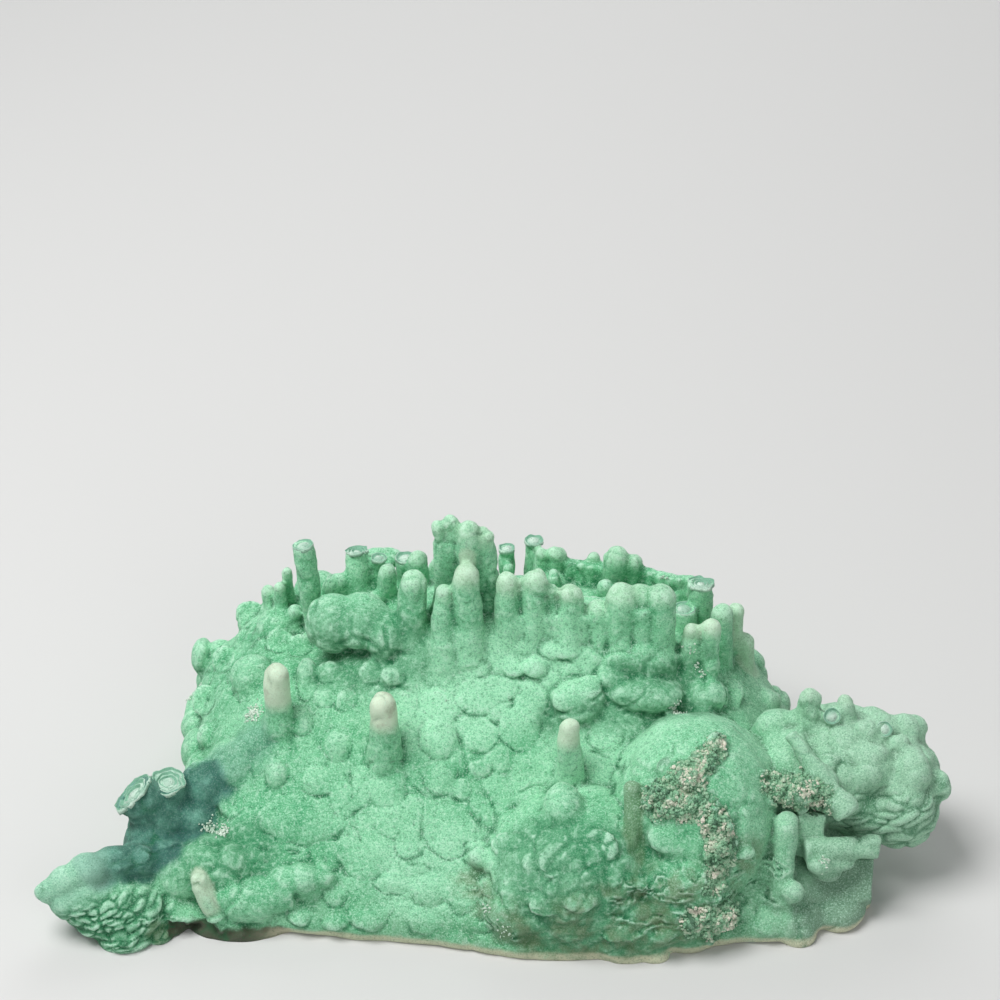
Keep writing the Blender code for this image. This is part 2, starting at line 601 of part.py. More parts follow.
def settle(bm):
    """Puts the origin in the middle of the foot and brings millimetres to metres."""
    bmesh.ops.translate(bm, verts=bm.verts, vec=(-MIDDLE[0], -MIDDLE[1], -TRUE_FOOT))
    bmesh.ops.scale(bm, verts=bm.verts, vec=(MM, MM, MM))


def malachite():
    """The green of the whole mass."""
    material = bpy.data.materials.new("malachite")
    material.use_nodes = True
    shader = material.node_tree.nodes["Principled BSDF"]
    shader.inputs["Base Color"].default_value = (0.10, 0.42, 0.24, 1.0)
    shader.inputs["Roughness"].default_value = 0.75
    shader.inputs["Metallic"].default_value = 0.0
    return material


def build_mass():
    """The whole specimen as one solid."""
    obj = new_object(loose_forms())
    fuse(obj)
    bm = bmesh.new()
    bm.from_mesh(obj.data)
    swell_skin(bm)
    cut_foot(bm, ROUGH_FOOT)
    bm.to_mesh(obj.data)
    bm.free()
    thin(obj)
    bm = bmesh.new()
    bm.from_mesh(obj.data)
    cut_foot(bm, TRUE_FOOT)
    bmesh.ops.recalc_face_normals(bm, faces=bm.faces)
    settle(bm)
    bm.to_mesh(obj.data)
    bm.free()
    obj.data.materials.clear()
    obj.data.materials.append(malachite())
    obj.data.shade_smooth()


clear_scene()
build_mass()
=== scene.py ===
"""The looks of a malachite specimen: its fine skin, crusts, broken ends, finishes, light and camera."""
import logging
import math
import random
from dataclasses import dataclass, field
from enum import Enum
from typing import Iterable, Sequence

import bmesh
import bpy
import numpy as np
from mathutils import Euler, Matrix, Vector, noise
from mathutils.bvhtree import BVHTree


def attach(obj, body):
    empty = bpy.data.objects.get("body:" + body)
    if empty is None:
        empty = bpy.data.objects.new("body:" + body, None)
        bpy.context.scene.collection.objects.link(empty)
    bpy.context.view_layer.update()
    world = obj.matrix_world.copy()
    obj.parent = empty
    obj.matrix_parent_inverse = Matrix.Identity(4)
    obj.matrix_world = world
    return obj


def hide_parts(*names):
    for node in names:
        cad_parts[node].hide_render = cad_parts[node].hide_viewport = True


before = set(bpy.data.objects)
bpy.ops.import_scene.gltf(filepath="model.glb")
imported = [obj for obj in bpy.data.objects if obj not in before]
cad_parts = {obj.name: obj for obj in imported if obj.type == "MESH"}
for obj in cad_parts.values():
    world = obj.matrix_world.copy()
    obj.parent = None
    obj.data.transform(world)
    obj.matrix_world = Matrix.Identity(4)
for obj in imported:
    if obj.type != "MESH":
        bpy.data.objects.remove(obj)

LOG = logging.getLogger("malachite")
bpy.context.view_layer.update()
NODE = "malachite_mass"
BODY = "root"

Vec = tuple[float, float, float]
Colour = tuple[float, float, float, float]

# Forms are laid out in millimetres, with Y from the front rim and Z up from the foot, and then settled
# into the frame: metres, from the middle of the foot.
MM = 0.001
MIDDLE = (0.0, 59.4)
TRUE_FOOT = 0.3

# Fineness of the skin: its voxels, its triangles, how the side that faces the viewer is guarded when it
# is thinned, and the height under which its fine relief fades out.
VOXEL = 0.55
SKIN_TRIANGLES = 198000
SOFTEN_STEPS = 5
FRONT_GUARD = 0.8
GUARD_STRENGTH = 0.03
ROD_SIDES = 20
CALM_FOOT = 2.4

# How many rounds of neighbours tell a hollow and a groove.
HOLLOW_ROUNDS = 16
GROOVE_ROUNDS = 2


# ---------------------------------------------------------------- forms

# Profiles of the body across its depth: X, and the outline's Y and Z from front to back.
PROFILE_STEPS = 4
MOUND = (
    (-78, ((62, -4), (61, 4), (63, 8), (66, 11), (70, 13),
           (75, 15), (80, 15), (84, 14), (87, 8), (88, -4))),
    (-75.5, ((50, -4), (46, 6), (48, 13), (52, 17), (60, 21),
             (72, 24), (82, 25), (89, 23), (96, 11), (98, -4))),
    (-69, ((20, -4), (10, 3), (19, 12), (32, 19), (45, 26),
           (60, 31), (74, 32), (86, 30), (99, 15), (104, -4))),
    (-58, ((18, -4), (10, 3), (19, 15), (33, 26), (45, 35),
           (58, 39), (74, 40), (90, 40), (105, 22), (110, -4))),
    (-44, ((16, -4), (8.5, 3), (19, 16), (35, 29), (48, 38),
           (58, 42), (74, 41), (94, 43), (109, 22), (113, -4))),
    (-28, ((14, -4), (7, 3), (20, 17), (35, 29.5), (48, 40.5),
           (58, 48), (72, 49), (94, 45), (111, 22), (116, -4))),
    (-10, ((11, -4), (4, 3), (18, 16), (35, 29.5), (50, 43.5),
           (59, 54), (70, 56), (94, 44), (112, 22), (118, -4))),
    (8, ((8, -4), (1, 3), (17, 16), (34, 29.5), (50, 43),
         (59, 54), (71, 52), (95, 43), (112, 22), (118, -4))),
    (26, ((7, -4), (1, 3), (17, 16), (34, 29.5), (50, 42.5),
          (59, 51.5), (73, 46), (92, 43), (110, 22), (116, -4))),
    (44, ((11, -4), (5, 3), (18, 15), (35, 28), (50, 39.5),
          (59, 46), (75, 41), (88, 41), (104, 20), (109, -4))),
    (60, ((12, -4), (6, 3), (17, 14), (32, 24), (46, 31),
          (58, 34), (70, 36), (80, 36), (94, 18), (98, -4))),
    (70, ((12, -4), (6, 4), (18, 14), (32, 18), (44, 23),
          (55, 26), (64, 26), (72, 24), (82, 10), (85, -4))),
    (80, ((18, -4), (12, 3), (22, 11), (29, 13), (37, 15),
          (45, 17), (53, 17), (60, 15), (67, 6), (69, -4))),
    (89, ((22, -4), (18, 3), (24, 7), (28, 8), (33, 9),
          (38, 10), (43, 10), (48, 8), (52, 4), (53, -4))),
)

# Lumps: centre and three radii.
LUMPS = (
    # the two bulges of the front boulder
    ((19, 23, 7), (27, 23, 23)),
    ((47, 33, 18), (22, 24, 26)),
    ((9.0, 16.5, 6.5), (16.5, 14.5, 15.0)),
    ((4.5, 12.5, 12), (8.2, 8, 8.4)),
    ((4.2, 9.2, 8.2), (8.8, 7.4, 8.4)),
    ((30, 15.5, 4), (16, 16.5, 15)),
    ((42, 15.5, 8), (15, 13.5, 18)),
    # the right boulder, its neck and the plate under it
    ((83, 44, 24), (13, 17, 14.8)),
    ((96.5, 41, 22), (11.5, 15, 13)),
    ((88, 37, 29.0), (8.5, 8, 8)),
    ((98.6, 35, 29), (5.6, 6.5, 6.6)),
    ((106, 35, 25.3), (3.2, 4.5, 4)),
    ((99.0, 46.5, 32.8), (5.6, 4.6, 5.2)),
    ((91.5, 46, 31), (7.5, 7, 7.6)),
    ((75.0, 46.5, 34.2), (6.5, 5, 5.5)),
    ((67.5, 47, 32), (6, 6, 6)),
    ((97, 34, 20), (9.5, 10, 11.5)),
    ((92, 34, 19), (12.5, 9, 9)),
    ((70, 40, 20.5), (12, 15, 16.5)),
    ((63, 22, 8), (9, 9, 12)),
    ((80.6, 16.0, 2.6), (7.6, 6.4, 5.2)),
    ((70.5, 11.0, 1.5), (5.5, 6.0, 4.5)),
    ((35.8, 2.6, 0.5), (4.6, 3.0, 3.0)),
    # the blue lobe
    ((-64, 42.5, 24), (9, 8, 8)),
    ((-71, 39.5, 20.5), (8, 7.5, 8)),
    ((-78, 36, 17), (7.5, 7, 8)),
    ((-84, 32.5, 14.5), (7, 7, 7.5)),
    ((-75, 33, 13), (9, 8.5, 9.5)),
    ((-84, 28, 13), (7.5, 7, 8)),
    # the knobby arm and the scaly lobe under it
    ((-80.5, 23.5, 12.5), (6.5, 6.2, 6.2)),
    ((-86.5, 20.5, 14), (6.2, 5.4, 5.4)),
    ((-92, 17.8, 15), (6.0, 5.0, 5.2)),
    ((-97.5, 15.4, 15.4), (5.8, 4.8, 5.2)),
    ((-102.8, 13, 14.4), (4.6, 4.3, 4.6)),
    ((-107, 11.2, 13.2), (3.0, 3.0, 3.3)),
    ((-93, 12.5, 6.5), (11.5, 8, 8)),
    ((-98.5, 11.5, 9.5), (8.5, 6, 5.5)),
    ((-86.5, 13, 5), (8, 8, 8)),
    ((-89, 8.5, 1.6), (7, 6, 4.6)),
    ((-81.5, 10, 1), (4, 4, 3.4)),
    # lower left dome and ridge, and the rock under the rim
    ((-69, 22, 11), (12, 9, 8)),
    ((-76.5, 19.5, 10.5), (7.5, 6.5, 6.5)),
    ((-60.5, 13.2, 7.2), (8.5, 4.6, 4.8)),
    ((-57, 16, 6), (7, 5, 5)),
    ((-46, 18, 10), (8, 6, 6)),
    ((-50.6, 15.8, 12.2), (4.6, 4.2, 3.4)),
    ((-46.2, 15.8, 13.2), (4.4, 4.6, 3.8)),
    ((-42.2, 16.6, 13.2), (3.6, 3.8, 3.0)),
    ((-62, 14, 0), (13, 7, 4)),
    ((-81, 17, 1), (8, 9, 5)),
    # the ear at the back left corner
    ((-77, 87, 24), (3, 5, 5)),
    # the barrel block that overhangs the incline
    ((-41, 66, 51), (7, 8, 7.5)),
    ((-34, 65, 52), (8, 8, 7)),
    ((-28, 62, 50), (6, 7, 7)),
    # the arch and the lying piece behind it
    ((-41, 86, 47), (4.5, 3, 5)),
    ((-30, 95, 50), (6, 3.5, 3)),
    # the block under the right-hand barrels and the ledges below it
    ((34, 56.8, 46), (10, 4.8, 6.6)),
    ((18.7, 47.5, 39.5), (6.5, 5, 4)),
    ((37.5, 52, 41.5), (7.5, 5, 3)),
    ((35.6, 49.6, 41.4), (9.4, 4.8, 4.2)),
    ((19.2, 48.6, 41.6), (6.4, 4.4, 3.8)),
    ((27, 54, 44), (6, 4, 3)),
    ((50, 54, 38), (6, 6, 5)),
    # the bed of the crust along the front boulder
    ((50.8, 29, 42.4), (2.6, 2.6, 1.8)),
    ((47.6, 24.8, 40.6), (3.2, 2.8, 2.2)),
    ((43.8, 21.2, 38.6), (3.8, 2.8, 2.6)),
    ((38.8, 19.2, 35.4), (3.8, 2.8, 2.8)),
    ((36.0, 19.6, 33.0), (2.6, 2.4, 2.4)),
    ((41.5, 17.4, 34.4), (4.4, 2.4, 2.8)),
    ((46.2, 17.0, 34.8), (3.4, 2.4, 3.0)),
    ((50.4, 14.2, 31.0), (3.2, 2.4, 3.6)),
    ((51.2, 11.6, 25.4), (2.8, 2.4, 3.8)),
    ((57.2, 12.8, 23.6), (3.2, 2.6, 1.8)),
    ((48.6, 10.0, 17.0), (3.4, 3.0, 4.0)),
    ((48.4, 6.8, 10.2), (6.4, 3.6, 3.8)),
    # the bed of the crust on the neck
    ((65.6, 26.0, 31.6), (3.6, 2.8, 3.0)),
    ((71.0, 25.2, 31.4), (5.0, 2.8, 4.2)),
    ((75.4, 26.0, 31.0), (3.4, 2.6, 3.6)),
    # steps on the front face
    ((30, 9, 18.5), (8, 4, 1.8)),
    ((37, 9, 13.5), (8, 5, 1.8)),
    ((24, 4.5, 10.5), (9, 4, 2)),
    ((35, 6, 5.5), (9, 6, 2)),
    # knobs on the right boulder and the lobe under it
    ((87.4, 41.0, 37.0), (3.0, 3.0, 2.4)),
    ((95.6, 38.6, 35.4), (2.6, 2.4, 2.2)),
    ((91.0, 35.6, 35.0), (2.8, 2.4, 2.0)),
    ((78.6, 34.0, 33.6), (3.4, 3.2, 2.6)),
    ((101.6, 37.0, 31.0), (3.0, 2.6, 2.4)),
    ((68.9, 11.2, 12.6), (3.3, 3.0, 3.1)),
    ((75.7, 16.6, 17.0), (3.4, 3.2, 3.2)),
    ((77.6, 17.6, 13.2), (4.0, 3.2, 1.9)),
    ((67.7, 20.4, 26.6), (2.5, 2.5, 2.0)),
)

# Nodules on the incline: centre, and radii across it, up it and out of it.
INCLINE = 40.0
NODULES = (
    ((-61.0, 61.9, 36.5), (5.6, 6.2, 4.9)),
    ((-72.5, 54.4, 24.6), (3.0, 3.2, 2.4)),
    ((-47.2, 56.6, 40.3), (2.7, 5.5, 2.8)),
    ((-41.6, 57.6, 42.0), (3.4, 3.1, 2.4)),
    ((-42.5, 50.9, 39.3), (2.9, 2.4, 1.3)),
    ((-37.4, 49.8, 39.6), (2.7, 2.9, 1.3)),
    ((-48.4, 45.8, 36.0), (3.1, 3.9, 2.0)),
    ((-54.1, 35.9, 28.2), (3.1, 3.9, 2.4)),
    ((-39.3, 40.9, 32.8), (3.6, 4.1, 2.5)),
    ((-65.3, 32.4, 21.8), (3.4, 3.6, 1.3)),
    ((-47.8, 26.9, 21.9), (10.6, 6.3, 1.3)),
    ((-43.7, 33.9, 27.8), (4.3, 3.9, 0.8)),
    ((-37.1, 30.0, 24.9), (3.9, 4.3, 0.8)),
    ((-26.2, 53.3, 44.4), (3.4, 3.1, 2.6)),
    ((-31.6, 54.5, 44.5), (2.9, 2.9, 1.1)),
    ((-14.5, 41.8, 34.5), (4.8, 5.5, 2.4)),
    ((-5.8, 48.8, 41.6), (5.3, 4.8, 1.1)),
    ((-4.8, 41.8, 35.2), (4.6, 4.3, 0.8)),
    ((-27.6, 32.8, 27.1), (5.3, 5.3, 1.3)),
    ((-33.1, 32.8, 27.2), (2.9, 4.8, 0.8)),
    ((-14.4, 34.2, 28.2), (3.9, 4.6, 1.1)),
    ((-4.8, 35.8, 30.0), (3.4, 2.4, 0.8)),
    ((-9.1, 32.2, 26.8), (2.4, 2.9, 0.8)),
    ((-25.1, 25.8, 21.6), (4.8, 3.9, 0.8)),
    ((-11.9, 24.3, 20.4), (6.0, 6.7, 1.1)),
    ((-21.4, 22.1, 18.6), (3.4, 4.3, 0.8)),
    ((-32.1, 20.0, 16.3), (6.7, 5.8, 1.1)),
    ((-36.9, 20.8, 17.2), (2.4, 3.4, 0.8)),
    ((-24.9, 15.1, 12.2), (4.8, 2.9, 0.8)),
    ((-16.6, 13.4, 11.3), (4.3, 4.3, 1.0)),
    ((-9.0, 12.7, 11.3), (4.1, 5.3, 0.8)),
    ((-17.7, 8.3, 6.5), (4.3, 3.9, 0.8)),
    ((-30.8, 10.7, 7.4), (5.3, 4.8, 0.8)),
    ((-39.2, 13.6, 10.1), (2.9, 3.4, 1.0)),
    ((-39.1, 9.5, 5.3), (3.4, 2.9, 0.8)),
    ((-47.5, 10.9, 6.5), (2.9, 3.4, 0.8)),
    ((4.8, 43.4, 36.7), (5.3, 5.8, 1.0)),
    ((-4.8, 19.4, 16.8), (3.4, 3.4, 3.2)),
    ((7.9, 10.4, 22.8), (3.1, 2.9, 1.3)),
    ((14.9, 22.4, 28.6), (5.0, 6.8, 4.4)),
    ((1.2, 17.4, 22.5), (3.9, 3.4, 1.1)),
    ((39.1, 25.0, 39.7), (3.1, 2.9, 2.0)),
    ((40.1, 13.6, 27.5), (5.8, 4.8, 1.9)),
    ((14.0, 9.2, 24.0), (5.3, 4.8, 0.8)),
    ((23.3, 11.3, 25.8), (4.3, 5.3, 0.8)),
    ((21.3, 50.5, 42.7), (3.4, 3.6, 2.8)),
    ((15.2, 46.8, 41.9), (3.4, 3.4, 2.5)),
    ((8.0, 53.7, 46.6), (3.6, 2.9, 2.4)),
    ((30.3, 50.7, 41.8), (4.6, 4.3, 2.6)),
    ((3.6, 53.7, 47.3), (3.4, 3.4, 0.8)),
    ((1.2, 49.8, 42.7), (3.4, 2.9, 0.8)),
    ((14.5, 55.9, 50.2), (4.8, 2.9, 1.0)),
    ((25.3, 41.7, 35.3), (4.3, 3.9, 0.8)),
    ((56.5, 57.2, 36.2), (3.9, 4.3, 1.1)),
    ((-64.2, 89.2, 35.9), (3.9, 4.3, 0.8)),
    ((-69.7, 76.4, 31.2), (3.4, 3.9, 0.8)),
    ((-55.0, 72.9, 40.3), (3.9, 3.4, 0.8)),
    ((-49.9, 70.9, 40.3), (2.9, 3.4, 0.8)),
    ((-74.1, 66.0, 26.6), (3.4, 4.3, 0.8)),
    ((18.6, 3.2, 17.6), (4.8, 3.4, 0.8)),
    ((10.5, 3.7, 15.6), (4.3, 3.4, 0.8)),
    ((28.0, 0.6, 9.0), (5.3, 2.9, 0.8)),
    ((37.4, 2.4, 8.9), (4.3, 3.4, 0.8)),
    ((63.8, 7.6, 5.5), (3.9, 2.9, 0.8)),
    ((59.3, 13.5, 11.1), (3.4, 2.9, 0.8)),
)

# Fingers: foot, tip, foot radius and tip radius. Each flares to a wider foot up to a share of its
# height.
FLARE_REACH = 0.4
FLARE_SPREAD = 1.3
FINGERS = (
    # the ridge
    ((-14.2, 67, 50), (-14.3, 68, 80.0), 2.6, 2.0),
    ((-12.3, 67, 50), (-12.1, 68, 81.2), 2.8, 2.2),
    ((-7.4, 66, 52), (-7.5, 66, 80.6), 3.2, 2.8),
    ((-2.8, 67, 52), (-3.7, 67, 78.6), 3.6, 2.5),
    ((-8.0, 58.3, 47), (-8.2, 61, 72.3), 4.8, 3.1),
    ((-13.8, 56.6, 44), (-13.7, 60, 67), 4.6, 2.1),
    ((1.7, 58.0, 44), (1.8, 62, 69), 3.5, 2.7),
    ((8.3, 58.4, 44), (8.3, 63, 69.6), 3.5, 3.6),
    ((12.6, 58.0, 44), (12.4, 62.5, 65.4), 2.9, 2.0),
    ((17.0, 57.6, 44), (17.0, 62, 65.9), 3.8, 3.2),
    # the right-hand barrels
    ((29.4, 57.6, 42), (29.6, 61.5, 65.6), 4.4, 3.8),
    ((34.0, 58.6, 42), (34.0, 62.5, 64.8), 4.2, 3.4),
    ((39.0, 57.6, 42), (39.0, 61.5, 65.4), 4.3, 3.8),
    ((46.2, 56.2, 36), (46.4, 59, 56.4), 2.5, 2.3),
    ((50.9, 55.4, 36), (51.0, 59, 57.6), 2.8, 2.6),
    ((54.6, 67, 32), (54.6, 68, 55.0), 3.4, 3.0),
    ((58.8, 71, 28), (58.4, 72, 52.0), 2.4, 2.0),
    ((62.4, 70, 22), (61.2, 72, 43), 3.0, 2.6),
    # the back row
    ((10.3, 96, 38), (10.3, 96, 51.9), 2.3, 2.0),
    ((14.4, 96, 38), (14.4, 96, 52.6), 2.8, 2.7),
    ((24.0, 96, 38), (24.0, 96, 50.8), 2.0, 1.8),
    ((29.3, 90, 38), (29.3, 90, 56.4), 3.4, 3.2),
    ((33.8, 90, 38), (33.8, 90, 54.2), 2.8, 2.5),
    # the left back group
    ((-53.5, 85, 40), (-53.5, 85, 54.2), 1.9, 1.6),
    ((-55.4, 82, 38), (-55.4, 82, 51.4), 1.9, 1.6),
    ((-58.4, 84, 36), (-58.7, 85, 48.4), 2.2, 1.8),
    ((-28.1, 79, 44), (-28.1, 80, 58.9), 2.8, 2.6),
    ((-20.5, 84, 44), (-20.5, 84, 59.8), 3.0, 2.8),
    ((-22.6, 60.2, 44), (-20.6, 65.5, 67.4), 4.6, 3.7),
    # on the incline
    ((-53.4, 45.5, 34), (-53.2, 46.5, 53.2), 3.4, 3.2),
    ((-27.8, 38, 26), (-27.6, 39, 50.4), 4.0, 3.1),
    ((16.6, 33.5, 25), (16.5, 34.5, 46.4), 3.4, 3.0),
    ((-67.2, 10.2, 5.2), (-71.9, 13.2, 16.2), 2.2, 2.1),
    # on the right boulder
    ((74.8, 46, 34), (74.8, 47, 45.4), 3.4, 3.0),
    ((83.4, 45.0, 35), (83.5, 46, 43.8), 2.8, 2.4),
    # between the ridge and the barrels, and one that is buried in the front boulder
    ((24.0, 58.4, 44), (23.8, 62, 60.8), 3.6, 3.4),
    ((31.4, 13.2, 18.3), (31.2, 23.8, 36.6), 2.3, 2.1),
)

# Broken tubes: foot, rim centre, foot radius and rim radius.
TUBES = (
    ((-45.7, 75, 36), (-48.5, 78, 66), 3.0, 2.7),
    ((-35.5, 86, 42), (-36.1, 90, 56), 5.0, 3.0),
    ((-30.5, 88, 42), (-30.5, 88, 55), 2.2, 2.0),
    ((-23.8, 86, 42), (-23.8, 86, 56.5), 2.8, 2.6),
    ((1.8, 98, 38), (1.8, 98, 51), 2.4, 2.2),
    ((8.7, 100, 36), (8.7, 100, 52), 2.8, 2.5),
    ((50.2, 79, 36), (50.2, 80, 53), 3.4, 3.2),
    ((46, 76, 38), (46, 76, 48), 3.0, 2.9),
    # two short ends that face forward on the right boulder
    ((80.0, 47.5, 35.5), (79.7, 42.4, 40.7), 2.3, 2.1),
    ((92.8, 45.6, 32.5), (92.4, 40.8, 38.0), 2.2, 2.0),
    # the two wide blue tubes
    ((-80.5, 30.3, 17.5), (-88.2, 31.3, 26.2), 5.6, 5.7),
    ((-79.9, 36.5, 14), (-79.9, 34.1, 27.4), 5.2, 4.3),
)

# Bars: pieces of stalactite that lie or stand clear, broken off flat: two ends and their radii.
BARS = (
    # the ridge at the lower left
    ((-69.0, 14.2, 6.6), (-49.0, 15.0, 9.6), 5.0, 4.8),
    # the standing and the lying piece on the right lobe, and the flake beside them
    ((66.4, 12.0, 8), (67.6, 19.6, 26.8), 3.3, 2.5),
    ((72.0, 18.2, 19.6), (90.2, 20.6, 18.2), 2.7, 3.0),
    ((77.0, 17.0, 16.4), (84.6, 17.4, 15.4), 2.6, 0.7),
    # the leaning piece on the neck
    ((68.9, 35.2, 41.6), (82.2, 21.6, 27.9), 2.1, 3.3),
)

# Slabs: centre, half sizes and turns about X, Y and Z in degrees.
SLABS = (
    # the flap at the lower left
    ((-72.8, 12.8, 5.2), (6.4, 3.2, 0.9), (28, 20, 12)),
    # the plate and the web of the right lobe
    ((81.8, 21.2, 6.9), (7.8, 5.3, 4.6), (42, 0, -3)),
    ((73.4, 22.0, 21.2), (3.2, 1.8, 5.4), (-24, 6, 0)),
)

# Walls that join rows of fingers: two ends in plan, low and high level, and thickness.
WALL_FOOT = 1.3
WALL_TOP = 0.7
WALLS = (
    ((-15, 67), (26, 66), 44, 58.5, 2.8),
    ((18, 95), (26, 93), 36, 49, 2.4),
    ((36, 90), (48, 86), 36, 50.5, 2.4),
    ((2, 60.0), (26, 59.8), 44, 58.5, 3.0),
    ((29.4, 59.4), (39, 59.4), 44, 61.0, 3.8),
)

# Knobs scattered over the sides that face away: how many, and the box that they are dropped onto the
# mound from, with the way that they travel.
SCATTER_SEED = 11
SCATTER_RADIUS = (2.6, 6.5)
SCATTER_SINK = 0.42
SCATTERS = (
    (60, (-76, 78, 90), (66, 118, 90), (0, 0, -1)),
    (46, (-74, 150, 3), (62, 150, 36), (0, -1, 0)),
    (16, (-120, 50, 2), (-120, 96, 18), (1, 0, 0)),
    (14, (120, 62, 2), (120, 96, 30), (-1, 0, 0)),
)

# Short stalactites scattered over the hollow behind the ridge and the back slope.
SHOOT_COUNT = 20
SHOOT_BOX = ((-60, 76, 90), (58, 108, 90))
SHOOT_RADIUS = (1.5, 2.5)
SHOOT_HEIGHT = (3.0, 7.0)

# Broken tubes: the wall's share of the radius, and how deep the open end is.
TUBE_WALL = 0.34
TUBE_DEPTH = 1.5
NARROW_TUBE = 2.9

# Each growth ring's steps inward: its share of the ring's width, its rise and its paleness.
RING_STEPS = ((0.18, 0.0, 0.9), (0.16, -0.5, 0.2), (0.42, 0.0, 0.42), (0.10, 0.35, 0.8))

# Growth rings: how many there are and how much they waver, on wide and on narrow tubes, then the sides
# of the disc that they are cut into, and how far it is sunk into the rim.
WIDE_RINGS = (3, 0.22)
NARROW_RINGS = (1, 0.12)
RING_SIDES = 40
RING_SINK = 0.35

# Grains of the crusts: how many are tried, their radii, and the width of the patches of like colour.
GRAIN_COUNT = 10000
GRAIN_RADIUS = (0.2, 0.52)
GRAIN_SEED = 5
CLUMP = 3.2

# Crystals: their seed, how far they lean, their taper, widths and lengths.
CRYSTAL_SEED = 8
CRYSTAL_LEAN = 0.8
CRYSTAL_TAPER = 0.45
CRYSTAL_WIDTH = (0.14, 0.34)
CRYSTAL_LENGTH = (0.25, 0.7)

# The turn that lays the rows of scales across the front.
SCALE_TURN = ((0.94, 0, -0.34), (0, 1, 0), (0.34, 0, 0.94))

# The width of the bays along the edge of a ragged region.
RAGGED_SIZE = 2.6

# The way that the front faces.
FACING = (0.0, -0.828, 0.561)

# The front boulder's nodules, which have no crease around them, lie beyond this X and before this Y.
BOULDER_SIDE = -6.0
BOULDER_BACK = 28.0

# Creases of the skin, as lines seen from the front, and how far they reach into the depth.
FOLD_REACH = 9.0
FOLDS = (
    # under the blue trunk
    (
        (-91.4, 28.3, 23.3),
        (-88.1, 21.4, 18.9),
        (-82.0, 19.6, 17.7),
        (-75.2, 22.9, 17.7),
        (-66.9, 29.7, 19.5),
    ),
    # over the ridge at the lower left
    ((-58.4, 22.1, 17.7), (-47.6, 20.5, 17.2)),
    ((-58.3, 19.0, 15.0), (-47.6, 19.9, 16.8)),
    # around the plates of the incline
    ((-11.6, 46.6, 40.1), (-2.4, 45.5, 39.1)),
    ((-18.7, 31.0, 26.2), (-7.4, 29.1, 24.8), (-4.8, 23.5, 20.6)),
    ((-18.7, 30.7, 25.9), (-19.1, 21.5, 18.6)),
    ((-22.6, 18.3, 15.7), (-16.2, 17.1, 14.9)),
    ((-31.2, 36.2, 32.2), (-24.0, 36.3, 31.8), (-21.1, 32.4, 27.3), (-18.7, 31.2, 26.4)),
    ((-39.8, 22.7, 19.4), (-35.8, 24.5, 20.9), (-31.9, 21.3, 18.1)),
    ((-35.6, 36.2, 30.3), (-35.9, 29.7, 25.2)),
    # around the front boulder
    ((-8.1, 20.9, 18.4), (-4.1, 27.3, 23.6), (4.8, 30.6, 26.6), (10.3, 32.6, 28.4)),
    ((-8.3, 17.6, 15.7), (-2.4, 13.6, 16.9), (0.7, 6.5, 13.0), (5.8, 2.9, 9.8)),
    ((21.6, 38.2, 33.0), (26.9, 37.4, 32.1)),
    ((28.8, 36.4, 32.1), (26.6, 25.7, 28.7), (29.9, 12.5, 24.8)),
    # under the knobs below the ridge
    ((12.8, 54.8, 49.3), (18.7, 53.8, 47.6)),
    ((11.1, 46.3, 39.7), (15.9, 43.3, 39.9), (23.1, 44.7, 41.0)),
    ((28.1, 49.2, 41.7), (33.4, 47.0, 39.2), (43.7, 48.6, 38.8)),
    ((3.6, 51.3, 44.7), (8.0, 50.9, 44.1), (11.6, 51.7, 45.0)),
    # beside the dome at the upper left
    ((-68.2, 74.7, 32.7), (-67.6, 62.5, 32.7), (-63.8, 54.2, 34.3)),
)

# How far up each stalactite its pale tip starts, as a share of its length, and how pale it is, by the
# stalactite's number among the fingers.
TIP_COMMON = (0.88, 0.18)
TIP_PALE = {
    2: (0.88, 0.25),
    3: (0.88, 0.3),
    4: (0.84, 0.5),
    6: (0.84, 0.4),
    7: (0.86, 0.35),
    9: (0.86, 0.35),
    10: (0.88, 0.28),
    13: (0.84, 0.5),
    14: (0.86, 0.55),
    16: (0.55, 0.4),
    17: (0.35, 0.35),
    29: (0.45, 0.85),
    30: (0.66, 0.95),
    31: (0.70, 0.72),
    32: (0.20, 0.68),
    36: (2.0, 0.0),
}


class Ending(Enum):
    """How a rod of the mass ends."""

    ROUND = "round"
    BROKEN = "broken"


def along(start: Vector, end: Vector) -> Matrix:
    """Gives the placing that carries the Z axis, centred at its middle, onto a line.

    Args:
        start: Where the line starts.
        end: Where the line ends.

    Returns:
        The placing.
    """
    turn = (end - start).to_track_quat("Z", "X").to_matrix().to_4x4()
    return Matrix.Translation((start + end) / 2) @ turn


class Forms:
    """Gathers many small closed shapes into one mesh."""

    def __init__(self) -> None:
        """Starts with no shape."""
        self.bm = bmesh.new()
        self._carrier = bpy.data.meshes.new("carrier")

    def take(self, shape: bmesh.types.BMesh) -> None:
        """Adds a shape and frees it.

        Args:
            shape: The shape's own mesh.
        """
        shape.to_mesh(self._carrier)
        shape.free()
        self.bm.from_mesh(self._carrier)

    def finish(self) -> bmesh.types.BMesh:
        """Gives the gathered mesh.

        Returns:
            The mesh.
        """
        bpy.data.meshes.remove(self._carrier)
        return self.bm


def cone(start: Vector, end: Vector, low: float, high: float) -> bmesh.types.BMesh:
    """Makes a tapered round piece.

    Args:
        start: The middle of its first end.
        end: The middle of its other end.
        low: The radius at the first end.
        high: The radius at the other end.

    Returns:
        The piece.
    """
    bm = bmesh.new()
    bmesh.ops.create_cone(
        bm,
        cap_ends=True,
        segments=ROD_SIDES,
        radius1=low,
        radius2=high,
        depth=(end - start).length,
        matrix=along(start, end),
    )
    return bm


